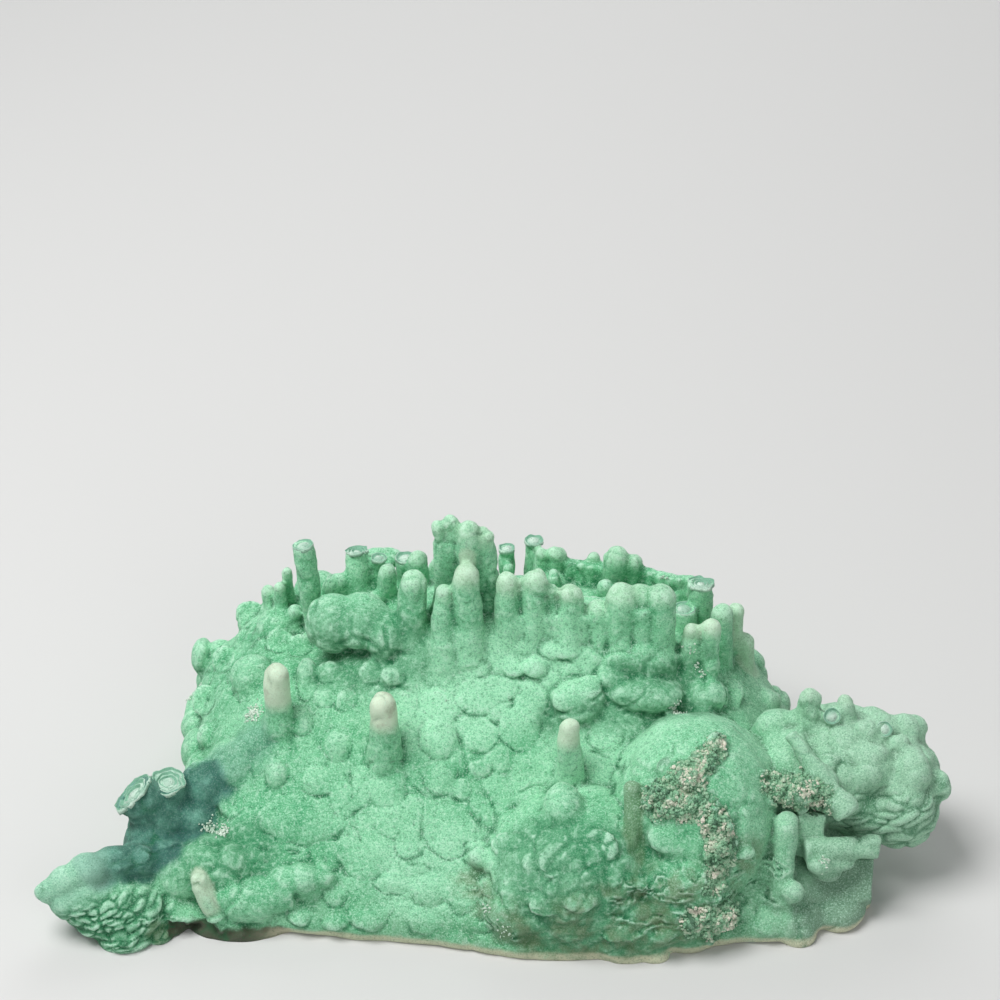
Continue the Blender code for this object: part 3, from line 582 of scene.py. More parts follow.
@dataclass(frozen=True)
class Lump:
    """An ellipsoid that swells out of the mass."""

    centre: Vec
    radii: Vec
    tilt: float = 0.0

    def add(self, forms: Forms) -> None:
        """Adds the lump.

        Args:
            forms: What gathers the shapes.
        """
        turn = Euler((math.radians(self.tilt), 0, 0)).to_matrix().to_4x4()
        place = Matrix.Translation(Vector(self.centre)) @ turn @ Matrix.Diagonal((*self.radii, 1.0))
        bm = bmesh.new()
        bmesh.ops.create_icosphere(bm, subdivisions=3, radius=1.0, matrix=place)
        forms.take(bm)


@dataclass(frozen=True)
class Bar:
    """A piece of stalactite with flat ends."""

    start: Vec
    end: Vec
    start_radius: float
    end_radius: float

    def add(self, forms: Forms) -> None:
        """Adds the bar.

        Args:
            forms: What gathers the shapes.
        """
        forms.take(cone(Vector(self.start), Vector(self.end), self.start_radius, self.end_radius))


@dataclass(frozen=True)
class Slab:
    """A flat plate."""

    centre: Vec
    half: Vec
    turns: Vec

    def add(self, forms: Forms) -> None:
        """Adds the plate.

        Args:
            forms: What gathers the shapes.
        """
        turn = Euler([math.radians(angle) for angle in self.turns]).to_matrix().to_4x4()
        place = Matrix.Translation(Vector(self.centre)) @ turn @ Matrix.Diagonal((*self.half, 1.0))
        bm = bmesh.new()
        bmesh.ops.create_cube(bm, size=2.0, matrix=place)
        forms.take(bm)


@dataclass(frozen=True)
class Rod:
    """A stalactite, whole with a round tip or broken off to an open tube."""

    foot: Vec
    tip: Vec
    foot_radius: float
    tip_radius: float
    ending: Ending = Ending.ROUND

    def add(self, forms: Forms) -> None:
        """Adds the rod.

        Args:
            forms: What gathers the shapes.
        """
        foot = Vector(self.foot)
        tip = Vector(self.tip)
        if self.ending is Ending.BROKEN:
            Lump(self.foot, (self.foot_radius,) * 3).add(forms)
            forms.take(self._tube(foot, tip))
            return
        top = tip - (tip - foot).normalized() * self.tip_radius
        flare = foot.lerp(top, FLARE_REACH)
        forms.take(cone(foot, top, self.foot_radius, self.tip_radius))
        forms.take(cone(foot, flare, self.foot_radius * FLARE_SPREAD, self.foot_radius * 0.9))
        Lump(tuple(top), (self.tip_radius,) * 3).add(forms)

    def _tube(self, foot: Vector, tip: Vector) -> bmesh.types.BMesh:
        """Makes a rod whose end is sunk to an open tube.

        Args:
            foot: The middle of its foot.
            tip: The middle of its rim.

        Returns:
            The rod.
        """
        bm = cone(foot, tip, self.foot_radius, self.tip_radius)
        way = (tip - foot).normalized()
        top = max(bm.faces, key=lambda face: face.calc_center_median().dot(way))
        bmesh.ops.inset_region(bm, faces=[top], thickness=self.tip_radius * TUBE_WALL)
        bmesh.ops.inset_region(bm, faces=[top], thickness=0.01, depth=-TUBE_DEPTH)
        return bm


@dataclass(frozen=True)
class Curtain:
    """A wall of merged rods between two places."""

    left: tuple[float, float]
    right: tuple[float, float]
    low: float
    high: float
    thickness: float

    def add(self, forms: Forms) -> None:
        """Adds the wall.

        Args:
            forms: What gathers the shapes.
        """
        left = Vector((*self.left, 0))
        right = Vector((*self.right, 0))
        count = max(2, int((right - left).length / self.thickness))
        for step in range(count + 1):
            spot = left.lerp(right, step / count)
            foot = spot + Vector((0, 0, self.low))
            top = spot + Vector((0, 0, self.high))
            forms.take(cone(foot, top, self.thickness * WALL_FOOT, self.thickness * WALL_TOP))


def curve_between(points: Iterable[Vector], steps: int) -> list[Vector]:
    """Finds points on a smooth curve through the given ones.

    Args:
        points: The points that the curve passes.
        steps: The steps between each pair of them.

    Returns:
        The points along the curve.
    """
    points = list(points)
    found = []
    last = len(points) - 1
    for i in range(last):
        before = points[max(i - 1, 0)]
        here = points[i]
        there = points[i + 1]
        after = points[min(i + 2, last)]
        for step in range(steps):
            t = step / steps
            line = 2 * here + (there - before) * t
            bend = (2 * before - 5 * here + 4 * there - after) * t * t
            twist = (3 * here - before - 3 * there + after) * t * t * t
            found.append((line + bend + twist) / 2)
    found.append(points[last])
    return found


@dataclass(frozen=True)
class Mound:
    """The body of the mass, skinned over profiles across its depth."""

    profiles: tuple
    steps: int

    def shape(self) -> bmesh.types.BMesh:
        """Makes the body.

        Returns:
            The body.
        """
        bm = bmesh.new()
        rows = [[Vector((x, y, z)) for y, z in profile] for x, profile in self.profiles]
        columns = [curve_between(column, self.steps) for column in zip(*rows)]
        loops = []
        for section in zip(*columns):
            outline = curve_between(section, self.steps)
            verts = [bm.verts.new(point) for point in outline]
            loops.append([bm.edges.new((verts[k - 1], verts[k])) for k in range(len(verts))])
        for before, after in zip(loops, loops[1:]):
            bmesh.ops.bridge_loops(bm, edges=before + after)
        for end in (loops[0], loops[-1]):
            bmesh.ops.contextual_create(bm, geom=end)
        bmesh.ops.recalc_face_normals(bm, faces=bm.faces)
        return bm


def between(rng: random.Random, low: Vec, high: Vec) -> Vector:
    """Gives a chance point of a box.

    Args:
        rng: The source of chance.
        low: The box's lowest corner.
        high: Its highest corner.

    Returns:
        The point.
    """
    return Vector([rng.uniform(a, b) for a, b in zip(low, high)])


@dataclass(frozen=True)
class Scatter:
    """Knobs and short stalactites of chance sizes on the sides that face away."""

    seed: int

    def add(self, forms: Forms, tree: BVHTree) -> None:
        """Drops the knobs onto the body.

        Args:
            forms: What gathers the shapes.
            tree: The body's surface.
        """
        rng = random.Random(self.seed)
        for count, low, high, way in SCATTERS:
            for _ in range(count):
                start = between(rng, low, high)
                radius = rng.uniform(*SCATTER_RADIUS)
                place, normal, _, _ = tree.ray_cast(start, Vector(way))
                if place is not None:
                    Lump(tuple(place - normal * radius * SCATTER_SINK), (radius,) * 3).add(forms)
        for _ in range(SHOOT_COUNT):
            start = between(rng, *SHOOT_BOX)
            radius = rng.uniform(*SHOOT_RADIUS)
            height = rng.uniform(*SHOOT_HEIGHT)
            place, _, _, _ = tree.ray_cast(start, Vector((0, 0, -1)))
            if place is not None:
                up = Vector((0, 0, height))
                Rod(tuple(place - up), tuple(place + up), radius * 1.2, radius).add(forms)


# ---------------------------------------------------------------- regions of the skin


def smooth_step(low: float, high: float, value: np.ndarray) -> np.ndarray:
    """Rises smoothly from 0 at low to 1 at high.

    Args:
        low: Where the rise starts.
        high: Where it ends, above or below low.
        value: The values to map.

    Returns:
        The shares, from 0 to 1.
    """
    t = np.clip((value - low) / (high - low), 0.0, 1.0)
    return t * t * (3 - 2 * t)


def rod_distance(places: np.ndarray, start: Vec, end: Vec) -> tuple[np.ndarray, np.ndarray]:
    """Measures places against a line.

    Args:
        places: The places, one in each row.
        start: The line's start.
        end: The line's end.

    Returns:
        Each place's distance from the line, and how far along it the place lies, 0 at its start.
    """
    start_point = np.array(start, dtype=float)
    way = np.array(end, dtype=float) - start_point
    along_line = (places - start_point) @ way / (way @ way)
    nearest = start_point + np.clip(along_line, 0.0, 1.0)[:, None] * way
    return np.linalg.norm(places - nearest, axis=1), along_line


def wander(places: np.ndarray, size: float) -> np.ndarray:
    """Reads a smooth chance offset at each place.

    Args:
        places: The places, one in each row.
        size: How far apart the offsets differ, in millimetres.

    Returns:
        The offsets, each part about -1 to 1.
    """
    return np.array([noise.noise_vector(Vector(p) / size) for p in places])


def waves(places: np.ndarray) -> np.ndarray:
    """Reads a smooth chance height at each place.

    Args:
        places: The places, one in each row.

    Returns:
        The heights, about -1 to 1.
    """
    return np.array([noise.noise(Vector(p)) for p in places])


def cells(places: np.ndarray) -> np.ndarray:
    """Measures places against scattered points.

    Args:
        places: The places, one in each row.

    Returns:
        Each place's distances from the two nearest points.
    """
    return np.array([noise.voronoi(Vector(p))[0][:2] for p in places])


def seam(offset: np.ndarray, width: float) -> np.ndarray:
    """Peaks at 1 where the offset is none, and falls off over the width."""
    return np.exp(-((offset / width) ** 2))


def dome(near: np.ndarray, edge: float) -> np.ndarray:
    """Rises to 1 at a cell's point, from 0 at its edge."""
    return np.maximum(0.0, 1.0 - (near / edge) ** 2)


@dataclass(frozen=True)
class Region:
    """A part of the skin, as rounded strokes that fade out at their edge."""

    strokes: tuple
    fade: float
    ragged: float = 0.0

    def share(self, places: np.ndarray) -> np.ndarray:
        """Finds how far each place belongs to the region.

        Args:
            places: The places, one in each row.

        Returns:
            The shares, from 0 to 1.
        """
        share = np.zeros(len(places))
        if self.ragged:
            places = places + self.ragged * wander(places, RAGGED_SIZE)
        for start, end, radius in self.strokes:
            distance, _ = rod_distance(places, start, end)
            share = np.maximum(share, smooth_step(radius + self.fade, radius, distance))
        return share


# The blue-green trunk with its two wide tubes.
BLUE = Region(
    (
        ((-71, 36, 25), (-76, 32, 20), 5.0),
        ((-78, 32, 18), (-88, 29, 17), 8.0),
        ((-86, 30, 24), (-80, 34, 26), 7.0),
        ((-81, 21.5, 16), (-95, 15.5, 16.5), 4.0),
    ),
    3.2,
    1.4,
)

# The fainter blue that runs up from the trunk.
BLUE_RIDGE = Region((((-60, 42.5, 32), (-71, 36, 26), 2.6),), 6.5, 2.0)

# The pale end of the arm at the left.
ARM_END = Region((((-100, 13.5, 16), (-110, 10.5, 13), 4.6),), 6.0, 1.2)

# The scaly lobe under the arm.
SCALES = Region((((-86, 9, 5), (-101, 6, 7), 8.0),), 2.2)

# The underside of the right boulder.
SHINGLES = Region((((86, 26, 22), (101, 29, 21), 6.0), ((94, 26, 16), (100, 28, 16), 5.0)), 3.0)

# The top of the right boulder.
KNOBBLY = Region((((82, 38, 34), (98, 40, 30), 12.0),), 5.0)

# The front boulder's face.
SCALED_FACE = Region((((14, 6, 14), (26, 8, 20), 8.0), ((26, 2, 6), (12, 1, 5), 5.0)), 5.0)

# The two granular crusts.
CRUST = Region(
    (
        ((50.8, 29, 43.5), (50.2, 26, 42.8), 2.2),
        ((48, 25, 41.5), (44, 21, 39.6), 2.6),
        ((44, 20.5, 39), (37.5, 19, 34), 4.0),
        ((40, 17, 34.5), (47, 16.5, 34.5), 3.0),
        ((50, 14, 32), (51.5, 10.5, 25), 3.4),
        ((51, 10, 22), (49, 8, 16), 2.8),
        ((45.0, 4.4, 12.0), (54.0, 6.6, 9.0), 3.4),
        ((45.5, 3.2, 9.5), (52.0, 4.8, 7.0), 2.6),
        ((65, 26, 33), (76, 25, 30.5), 4.0),
    ),
    1.4,
    1.8,
)

# Faces that are worn into thin steps.
LAYERS = Region(
    (
        ((32, 5, 14), (46, 8, 16), 6.0),
        ((56, 9, 18), (63, 14, 14), 5.0),
        ((-6.0, 10, 12), (2.5, 1.5, 5), 1.6),
    ),
    3.0,
)

# Brownish stains.
BROWN = Region(
    (
        ((20, 3, 10), (46, 8, 14), 7.0),
        ((-7, 14, 13), (8, 3, 6), 1.6),
        ((4, 4, 9), (20, 2, 8), 3.0),
        ((54.5, 12, 20), (57, 13, 21), 3.0),
    ),
    6.0,
)

# Painted shade: deeper green over the middle and lower front of the front boulder.
BOULDER_SHADE = Region((((9, 10, 24), (27, 8, 22), 8.0), ((12, 4, 14), (30, 4, 14), 7.0)), 7.0, 0.6)

# The buried stalactite and the stained foot of the scaly lobe.
STAIN = Region(
    (
        ((31.2, 23, 37), (31.4, 12.5, 19), 2.0),
        ((-81, 6.5, 4.5), (-80, 7.5, 2), 2.0),
    ),
    1.2,
    0.8,
)

# The rock under the rim at the lower left, its dark colour partly painted shade from the rim above it.
ROCK = Region(
    (
        ((-77, 11.0, 1.4), (-70, 9.2, 1.2), 3.0),
        ((-70, 9.2, 1.0), (-52, 8.6, 0.2), 2.0),
    ),
    1.2,
    0.8,
)

# The slaty plate at the right.
SLATE = Region((((76, 12, 4), (87, 16, 8), 6.5),), 4.0)

# Painted light: paler green where the light falls strongest, on the incline and on the tops of the
# boulders.
PALE = Region(
    (
        ((-18, 50, 42), (10, 53, 46), 10.0),
        ((20, 38, 33), (46, 42, 34), 7.0),
        ((-20, 14, 12), (-8, 18, 15), 6.0),
        ((86, 44, 40), (98, 44, 36), 6.0),
    ),
    8.0,
)

# Painted shade: deeper green in recesses and under overhangs and ledges elsewhere.
SHADE = Region(
    (
        ((-44, 58, 50), (-27, 56, 50), 8.0),
        ((-76, 20, 17), (-60, 21, 17), 5.0),
        ((-86, 9, 4), (-98, 7, 6), 7.0),
        ((28, 47, 40), (46, 48, 40), 4.5),
        ((30, 52, 45), (44, 53, 44), 2.5),
        ((13, 45, 38), (22, 45, 39), 2.0),
        ((12, 2, 8), (44, 4, 10), 7.0),
        ((71.4, 17.5, 13), (73.2, 18.5, 17), 2.0),
    ),
    5.0,
)

# The regions that the finish reads as they are.
MARKED = {
    "crust": CRUST,
    "rock": ROCK,
    "brown": BROWN,
    "stain": STAIN,
    "slate": SLATE,
    "pale": PALE,
    "arm": ARM_END,
}

# Pockets of pale crystals: centre, reach and how many.
CRYSTALS = (
    ((-70.0, 28.2, 17.6), 1.8, 70),
    ((-66.5, 26.4, 18.0), 1.8, 60),
    ((-79.5, 76, 22), 2.2, 60),
    ((-59.8, 49.4, 35.4), 2.2, 110),
    ((46.5, 57.5, 50), 1.1, 12),
    ((47.8, 56.5, 45), 1.0, 10),
    ((50, 55.5, 43.5), 1.1, 12),
    ((76.5, 15.4, 18.6), 1.2, 20),
    ((41.0, 85, 51), 1.4, 14),
    ((42.5, 47.0, 39.5), 1.8, 50),
    ((-3.5, 7.0, 11.0), 1.8, 14),
    ((1.5, 4.5, 8.0), 1.8, 14),
)


@dataclass(frozen=True)
class Relief:
    """The fine heights of the skin, in millimetres along its normals."""

    dome_size: float = 8.0
    dome_edge: float = 0.62
    dome_height: float = 0.5
    swell_size: float = 22.0
    swell_height: float = 0.8
    pad_size: float = 8.5
    pad_rim: float = 0.16
    pad_height: float = 0.5
    pad_wander: float = 1.2
    pad_wander_size: float = 5.0
    pad_patch: float = 15.0
    pebble_size: float = 2.4
    pebble_edge: float = 0.6
    pebble_height: float = 0.14
    pebble_patch: float = 11.0
    ring_width: float = 0.4
    ring_depth: float = 0.2
    ring_reach: float = 1.02
    ring_level: float = 5.0
    ring_waver: float = 0.2
    ring_waver_size: float = 2.6
    fold_width: float = 0.42
    fold_depth: float = 0.34
    fold_wander: float = 1.5
    fold_wander_size: float = 4.5
    fold_waver: float = 0.2
    fold_waver_size: float = 3.0
    scale_size: Vec = (4.2, 9.0, 1.5)
    scale_height: float = 0.5
    scale_edge: float = 0.62
    scale_gap: float = 0.13
    shingle_size: Vec = (7.0, 16.0, 2.4)
    shingle_height: float = 0.6
    face_size: Vec = (7.5, 16.0, 3.2)
    face_height: float = 0.3
    knob_size: float = 6.8
    knob_edge: float = 0.66
    knob_gap: float = 0.1
    knob_height: float = 0.75
    layer_pitch: float = 2.1
    layer_sway: float = 2.8
    layer_height: float = 0.7
    layer_patch: float = 4.0
    rock_size: float = 1.8
    rock_height: float = 0.9
    crust_size: float = 1.7
    crust_height: float = 1.4
    clump_size: float = 2.4
    clump_height: float = 1.7
    grit_size: float = 0.9
    grit_height: float = 0.07
    crease_patch: float = 4.5

    def broad(self, places: np.ndarray) -> np.ndarray:
        """Finds the low domes and the slow swell that the solid has too.

        Args:
            places: The skin's places, one in each row.

        Returns:
            The heights.
        """
        near = cells(places / self.dome_size)[:, 0]
        rise = dome(near, self.dome_edge) - 0.5
        return self.dome_height * rise + self.swell_height * waves(places / self.swell_size)

    def fine(self, places: np.ndarray) -> tuple[np.ndarray, np.ndarray]:
        """Finds the pads, creases, scales, layers and grains.

        Args:
            places: The skin's places, one in each row.

        Returns:
            The heights, and how much painted shade lies in a crease at each place, from 0 to 1.
        """
        crust = CRUST.share(places)
        scales = SCALES.share(places) * (1 - BLUE.share(places)) * (1 - ARM_END.share(places))
        shingles = SHINGLES.share(places)
        layers = LAYERS.share(places) * (1 - crust)
        plain_skin = (1 - crust) * (1 - scales) * (1 - shingles) * (1 - 0.7 * layers)
        pads, seams = self._pads(places)
        rings, knobs = self._rings(places)
        folds = self._folds(places)
        scaly, gaps = self._scales(places, self.scale_size)
        scalloped, slits = self._scales(places, self.shingle_size)
        faced, cracks = self._scales(places, self.face_size)
        face = SCALED_FACE.share(places) * (1 - crust)
        layered, drops = self._layers(places)
        height = (
            plain_skin * (pads * (1 - knobs) + self._pebbles(places) - self.ring_depth * rings)
            + self.scale_height * scales * scaly
            + self.shingle_height * shingles * scalloped
            + self.face_height * face * faced
            + self.knob_height * KNOBBLY.share(places) * self._knobs(places)
            + layers * layered
            + self.rock_height * ROCK.share(places) * waves(places / self.rock_size)
            + crust * self._grains(places)
            + self.grit_height * waves(places / self.grit_size)
            - self.fold_depth * folds
        )
        # The crease mark is painted shade: the finish darkens the seams, the rings below the nodules,
        # the folds and the gaps under scales, slits, cracks and steps.
        crease = plain_skin * np.maximum(0.6 * seams * (1 - knobs), 0.7 * rings)
        crease = np.maximum(crease, 0.7 * folds)
        crease *= 0.2 + 0.8 * smooth_step(-0.4, 0.4, waves(places / self.crease_patch))
        gapped = ((scales, gaps), (0.8 * shingles, slits), (0.5 * face, cracks), (0.8 * layers, drops))
        for share, dark in gapped:
            crease = np.maximum(crease, share * dark)
        return height, np.clip(crease, 0, 1)

    def _pads(self, places: np.ndarray) -> tuple[np.ndarray, np.ndarray]:
        """Finds the flat pads that come and go over the skin.

        Args:
            places: The skin's places, one in each row.

        Returns:
            The pads' heights, and the seams between them, from 0 to 1.
        """
        warp = wander(places, self.pad_wander_size) * self.pad_wander
        near = cells((places + warp) / self.pad_size)
        gap = near[:, 1] - near[:, 0]
        strength = smooth_step(-0.15, 0.3, waves(places / self.pad_patch + np.array([2, 9, 4])))
        height = self.pad_height * strength * (smooth_step(0, self.pad_rim * 2, gap) - 0.8)
        return height, strength * seam(gap, self.pad_rim * 0.45)

    def _rings(self, places: np.ndarray) -> tuple[np.ndarray, np.ndarray]:
        """Finds the creases around the nodules, deepest below them.

        Args:
            places: The skin's places, one in each row.

        Returns:
            The creases and the nodules' own tops, both from 0 to 1.
        """
        lean = math.radians(INCLINE)
        up_way = np.array([0.0, math.cos(lean), math.sin(lean)])
        out_way = np.array([0.0, -math.sin(lean), math.cos(lean)])
        rings = np.zeros(len(places))
        knobs = np.zeros(len(places))
        waver = self.ring_waver * waves(places / self.ring_waver_size + np.array([4, 1, 7]))
        for centre, (across, rise, _) in NODULES:
            if centre[0] > BOULDER_SIDE and centre[1] < BOULDER_BACK:
                continue
            offset = places - np.array(centre)
            up = offset @ up_way / rise
            reach = np.hypot(offset[:, 0] / across, up) + waver
            width = self.ring_width / (0.5 * (across + rise))
            level = np.abs(offset @ out_way) < self.ring_level
            near = seam(reach - self.ring_reach, width) * level
            rings = np.maximum(rings, near * (0.25 + 0.75 * smooth_step(0.5, -0.5, up)))
            knobs = np.maximum(knobs, smooth_step(1.0, 0.8, reach) * level)
        return rings * (1 - knobs), knobs

    def _folds(self, places: np.ndarray) -> np.ndarray:
        """Finds the laid-out creases.

        Args:
            places: The skin's places, one in each row.

        Returns:
            How near each place lies to a crease, from 0 to 1.
        """
        facing = np.array(FACING)
        depth = places @ facing
        drift = wander(places, self.fold_wander_size)
        flat = places - depth[:, None] * facing + self.fold_wander * drift
        waver = self.fold_waver * waves(places / self.fold_waver_size)
        folds = np.zeros(len(places))
        for line in FOLDS:
            for start, end in zip(line, line[1:]):
                ends = [np.array(point) - np.dot(point, facing) * facing for point in (start, end)]
                middle = 0.5 * (np.dot(start, facing) + np.dot(end, facing))
                distance, _ = rod_distance(flat, ends[0], ends[1])
                near = seam(distance + waver, self.fold_width)
                folds = np.maximum(folds, near * (np.abs(depth - middle) < FOLD_REACH))
        return folds

    def _pebbles(self, places: np.ndarray) -> np.ndarray:
        """Finds the small domes that come and go over the skin.

        Args:
            places: The skin's places, one in each row.

        Returns:
            The heights.
        """
        near = cells(places / self.pebble_size)[:, 0]
        strength = waves(places / self.pebble_patch + np.array([7, 3, 5]))
        rise = dome(near, self.pebble_edge) - 0.4
        return self.pebble_height * smooth_step(-0.1, 0.4, strength) * rise

    def _knobs(self, places: np.ndarray) -> np.ndarray:
        """Finds the low round knobs that crowd a boulder.

        Args:
            places: The skin's places, one in each row.

        Returns:
            The knobs' rises, about -0.7 to 0.5.
        """
        near = cells(places / self.knob_size + np.array([3.3, 1.7, 8.1]))
        gap = near[:, 1] - near[:, 0]
        return dome(near[:, 0], self.knob_edge) - 0.5 - 0.2 * seam(gap, self.knob_gap)

    def _scales(self, places: np.ndarray, size: Vec) -> tuple[np.ndarray, np.ndarray]:
        """Finds overlapping scales.

        Args:
            places: The skin's places, one in each row.
            size: The scales' size, across, along and out.

        Returns:
            The scales' rises, about -1 to 0.6, and the gaps under them, from 0 to 0.8.
        """
        turned = places @ np.array(SCALE_TURN)
        warp = np.array([noise.noise_vector(Vector(p) / size[0] * 1.3) for p in places])
        near = cells((turned + warp * 0.22 * size[0]) / np.array(size))
        gaps = seam(near[:, 1] - near[:, 0], self.scale_gap)
        return dome(near[:, 0], self.scale_edge) - 0.45 - 0.6 * gaps, 0.8 * gaps

    def _layers(self, places: np.ndarray) -> tuple[np.ndarray, np.ndarray]:
        """Finds the steps of the layered faces.

        Args:
            places: The skin's places, one in each row.

        Returns:
            The heights, and the gaps under the steps, from 0 to 1.
        """
        warp = waves(places * np.array([1, 1, 2]) / 5.0) + 0.3 * waves(places / 1.6)
        phase = (places[:, 2] + self.layer_sway * warp) / self.layer_pitch
        share = phase - np.floor(phase)
        step = smooth_step(0.0, 0.8, share) * smooth_step(1.0, 0.88, share)
        strength = smooth_step(-0.3, 0.15, waves(places / self.layer_patch))
        gaps = strength * np.maximum(smooth_step(0.14, 0.0, share), smooth_step(0.92, 1.0, share))
        return self.layer_height * strength * (step - 0.5), gaps

    def _grains(self, places: np.ndarray) -> np.ndarray:
        """Finds the rough bed under the granular crusts.

        Args:
            places: The skin's places, one in each row.

        Returns:
            The heights.
        """
        near = cells(places / self.crust_size)[:, 0]
        return self.crust_height * (0.8 - near) + self.clump_height * waves(places / self.clump_size)


# ---------------------------------------------------------------- mesh helpers


def new_object(name: str, bm: bmesh.types.BMesh) -> bpy.types.Object:
    """Turns a gathered mesh into an object of the scene.

    Args:
        name: The object's name.
        bm: Its mesh, which is freed.

    Returns:
        The object.
    """
    mesh = bpy.data.meshes.new(name)
    bm.to_mesh(mesh)
    bm.free()
    obj = bpy.data.objects.new(name, mesh)
    bpy.context.scene.collection.objects.link(obj)
    return obj


def apply_modifiers(obj: bpy.types.Object) -> None:
    """Gives an object the mesh that its modifiers make of it.

    Args:
        obj: The object.
    """
    graph = bpy.context.evaluated_depsgraph_get()
    mesh = bpy.data.meshes.new_from_object(obj.evaluated_get(graph))
    old = obj.data
    obj.modifiers.clear()
    obj.data = mesh
    bpy.data.meshes.remove(old)
    mesh.name = obj.name


def settle(obj: bpy.types.Object) -> None:
    """Brings an object's mesh from the layout in millimetres into the frame.

    Args:
        obj: The object.
    """
    bm = bmesh.new()
    bm.from_mesh(obj.data)
    bmesh.ops.translate(bm, verts=bm.verts, vec=(-MIDDLE[0], -MIDDLE[1], -TRUE_FOOT))
    bmesh.ops.scale(bm, verts=bm.verts, vec=(MM, MM, MM))
    bm.to_mesh(obj.data)
    bm.free()
    obj.data.shade_smooth()


def vectors_of(items: bpy.types.bpy_prop_collection, name: str) -> np.ndarray:
    """Reads a vector from every item.

    Args:
        items: The items, such as a mesh's vertices.
        name: The vector's name.

    Returns:
        The vectors, one in each row.
    """
    found = np.empty(len(items) * 3, dtype=np.float32)
    items.foreach_get(name, found)
    return found.reshape(-1, 3).astype(float)


def add_attribute(mesh: bpy.types.Mesh, name: str, values: np.ndarray) -> None:
    """Stores a number on every vertex, for the finish to read.

    Args:
        mesh: The mesh.
        name: The attribute's name.
        values: The numbers.
    """
    layer = mesh.attributes.new(name=name, type="FLOAT", domain="POINT")
    layer.data.foreach_set("value", np.asarray(values, dtype=np.float32))


# ---------------------------------------------------------------- the skin


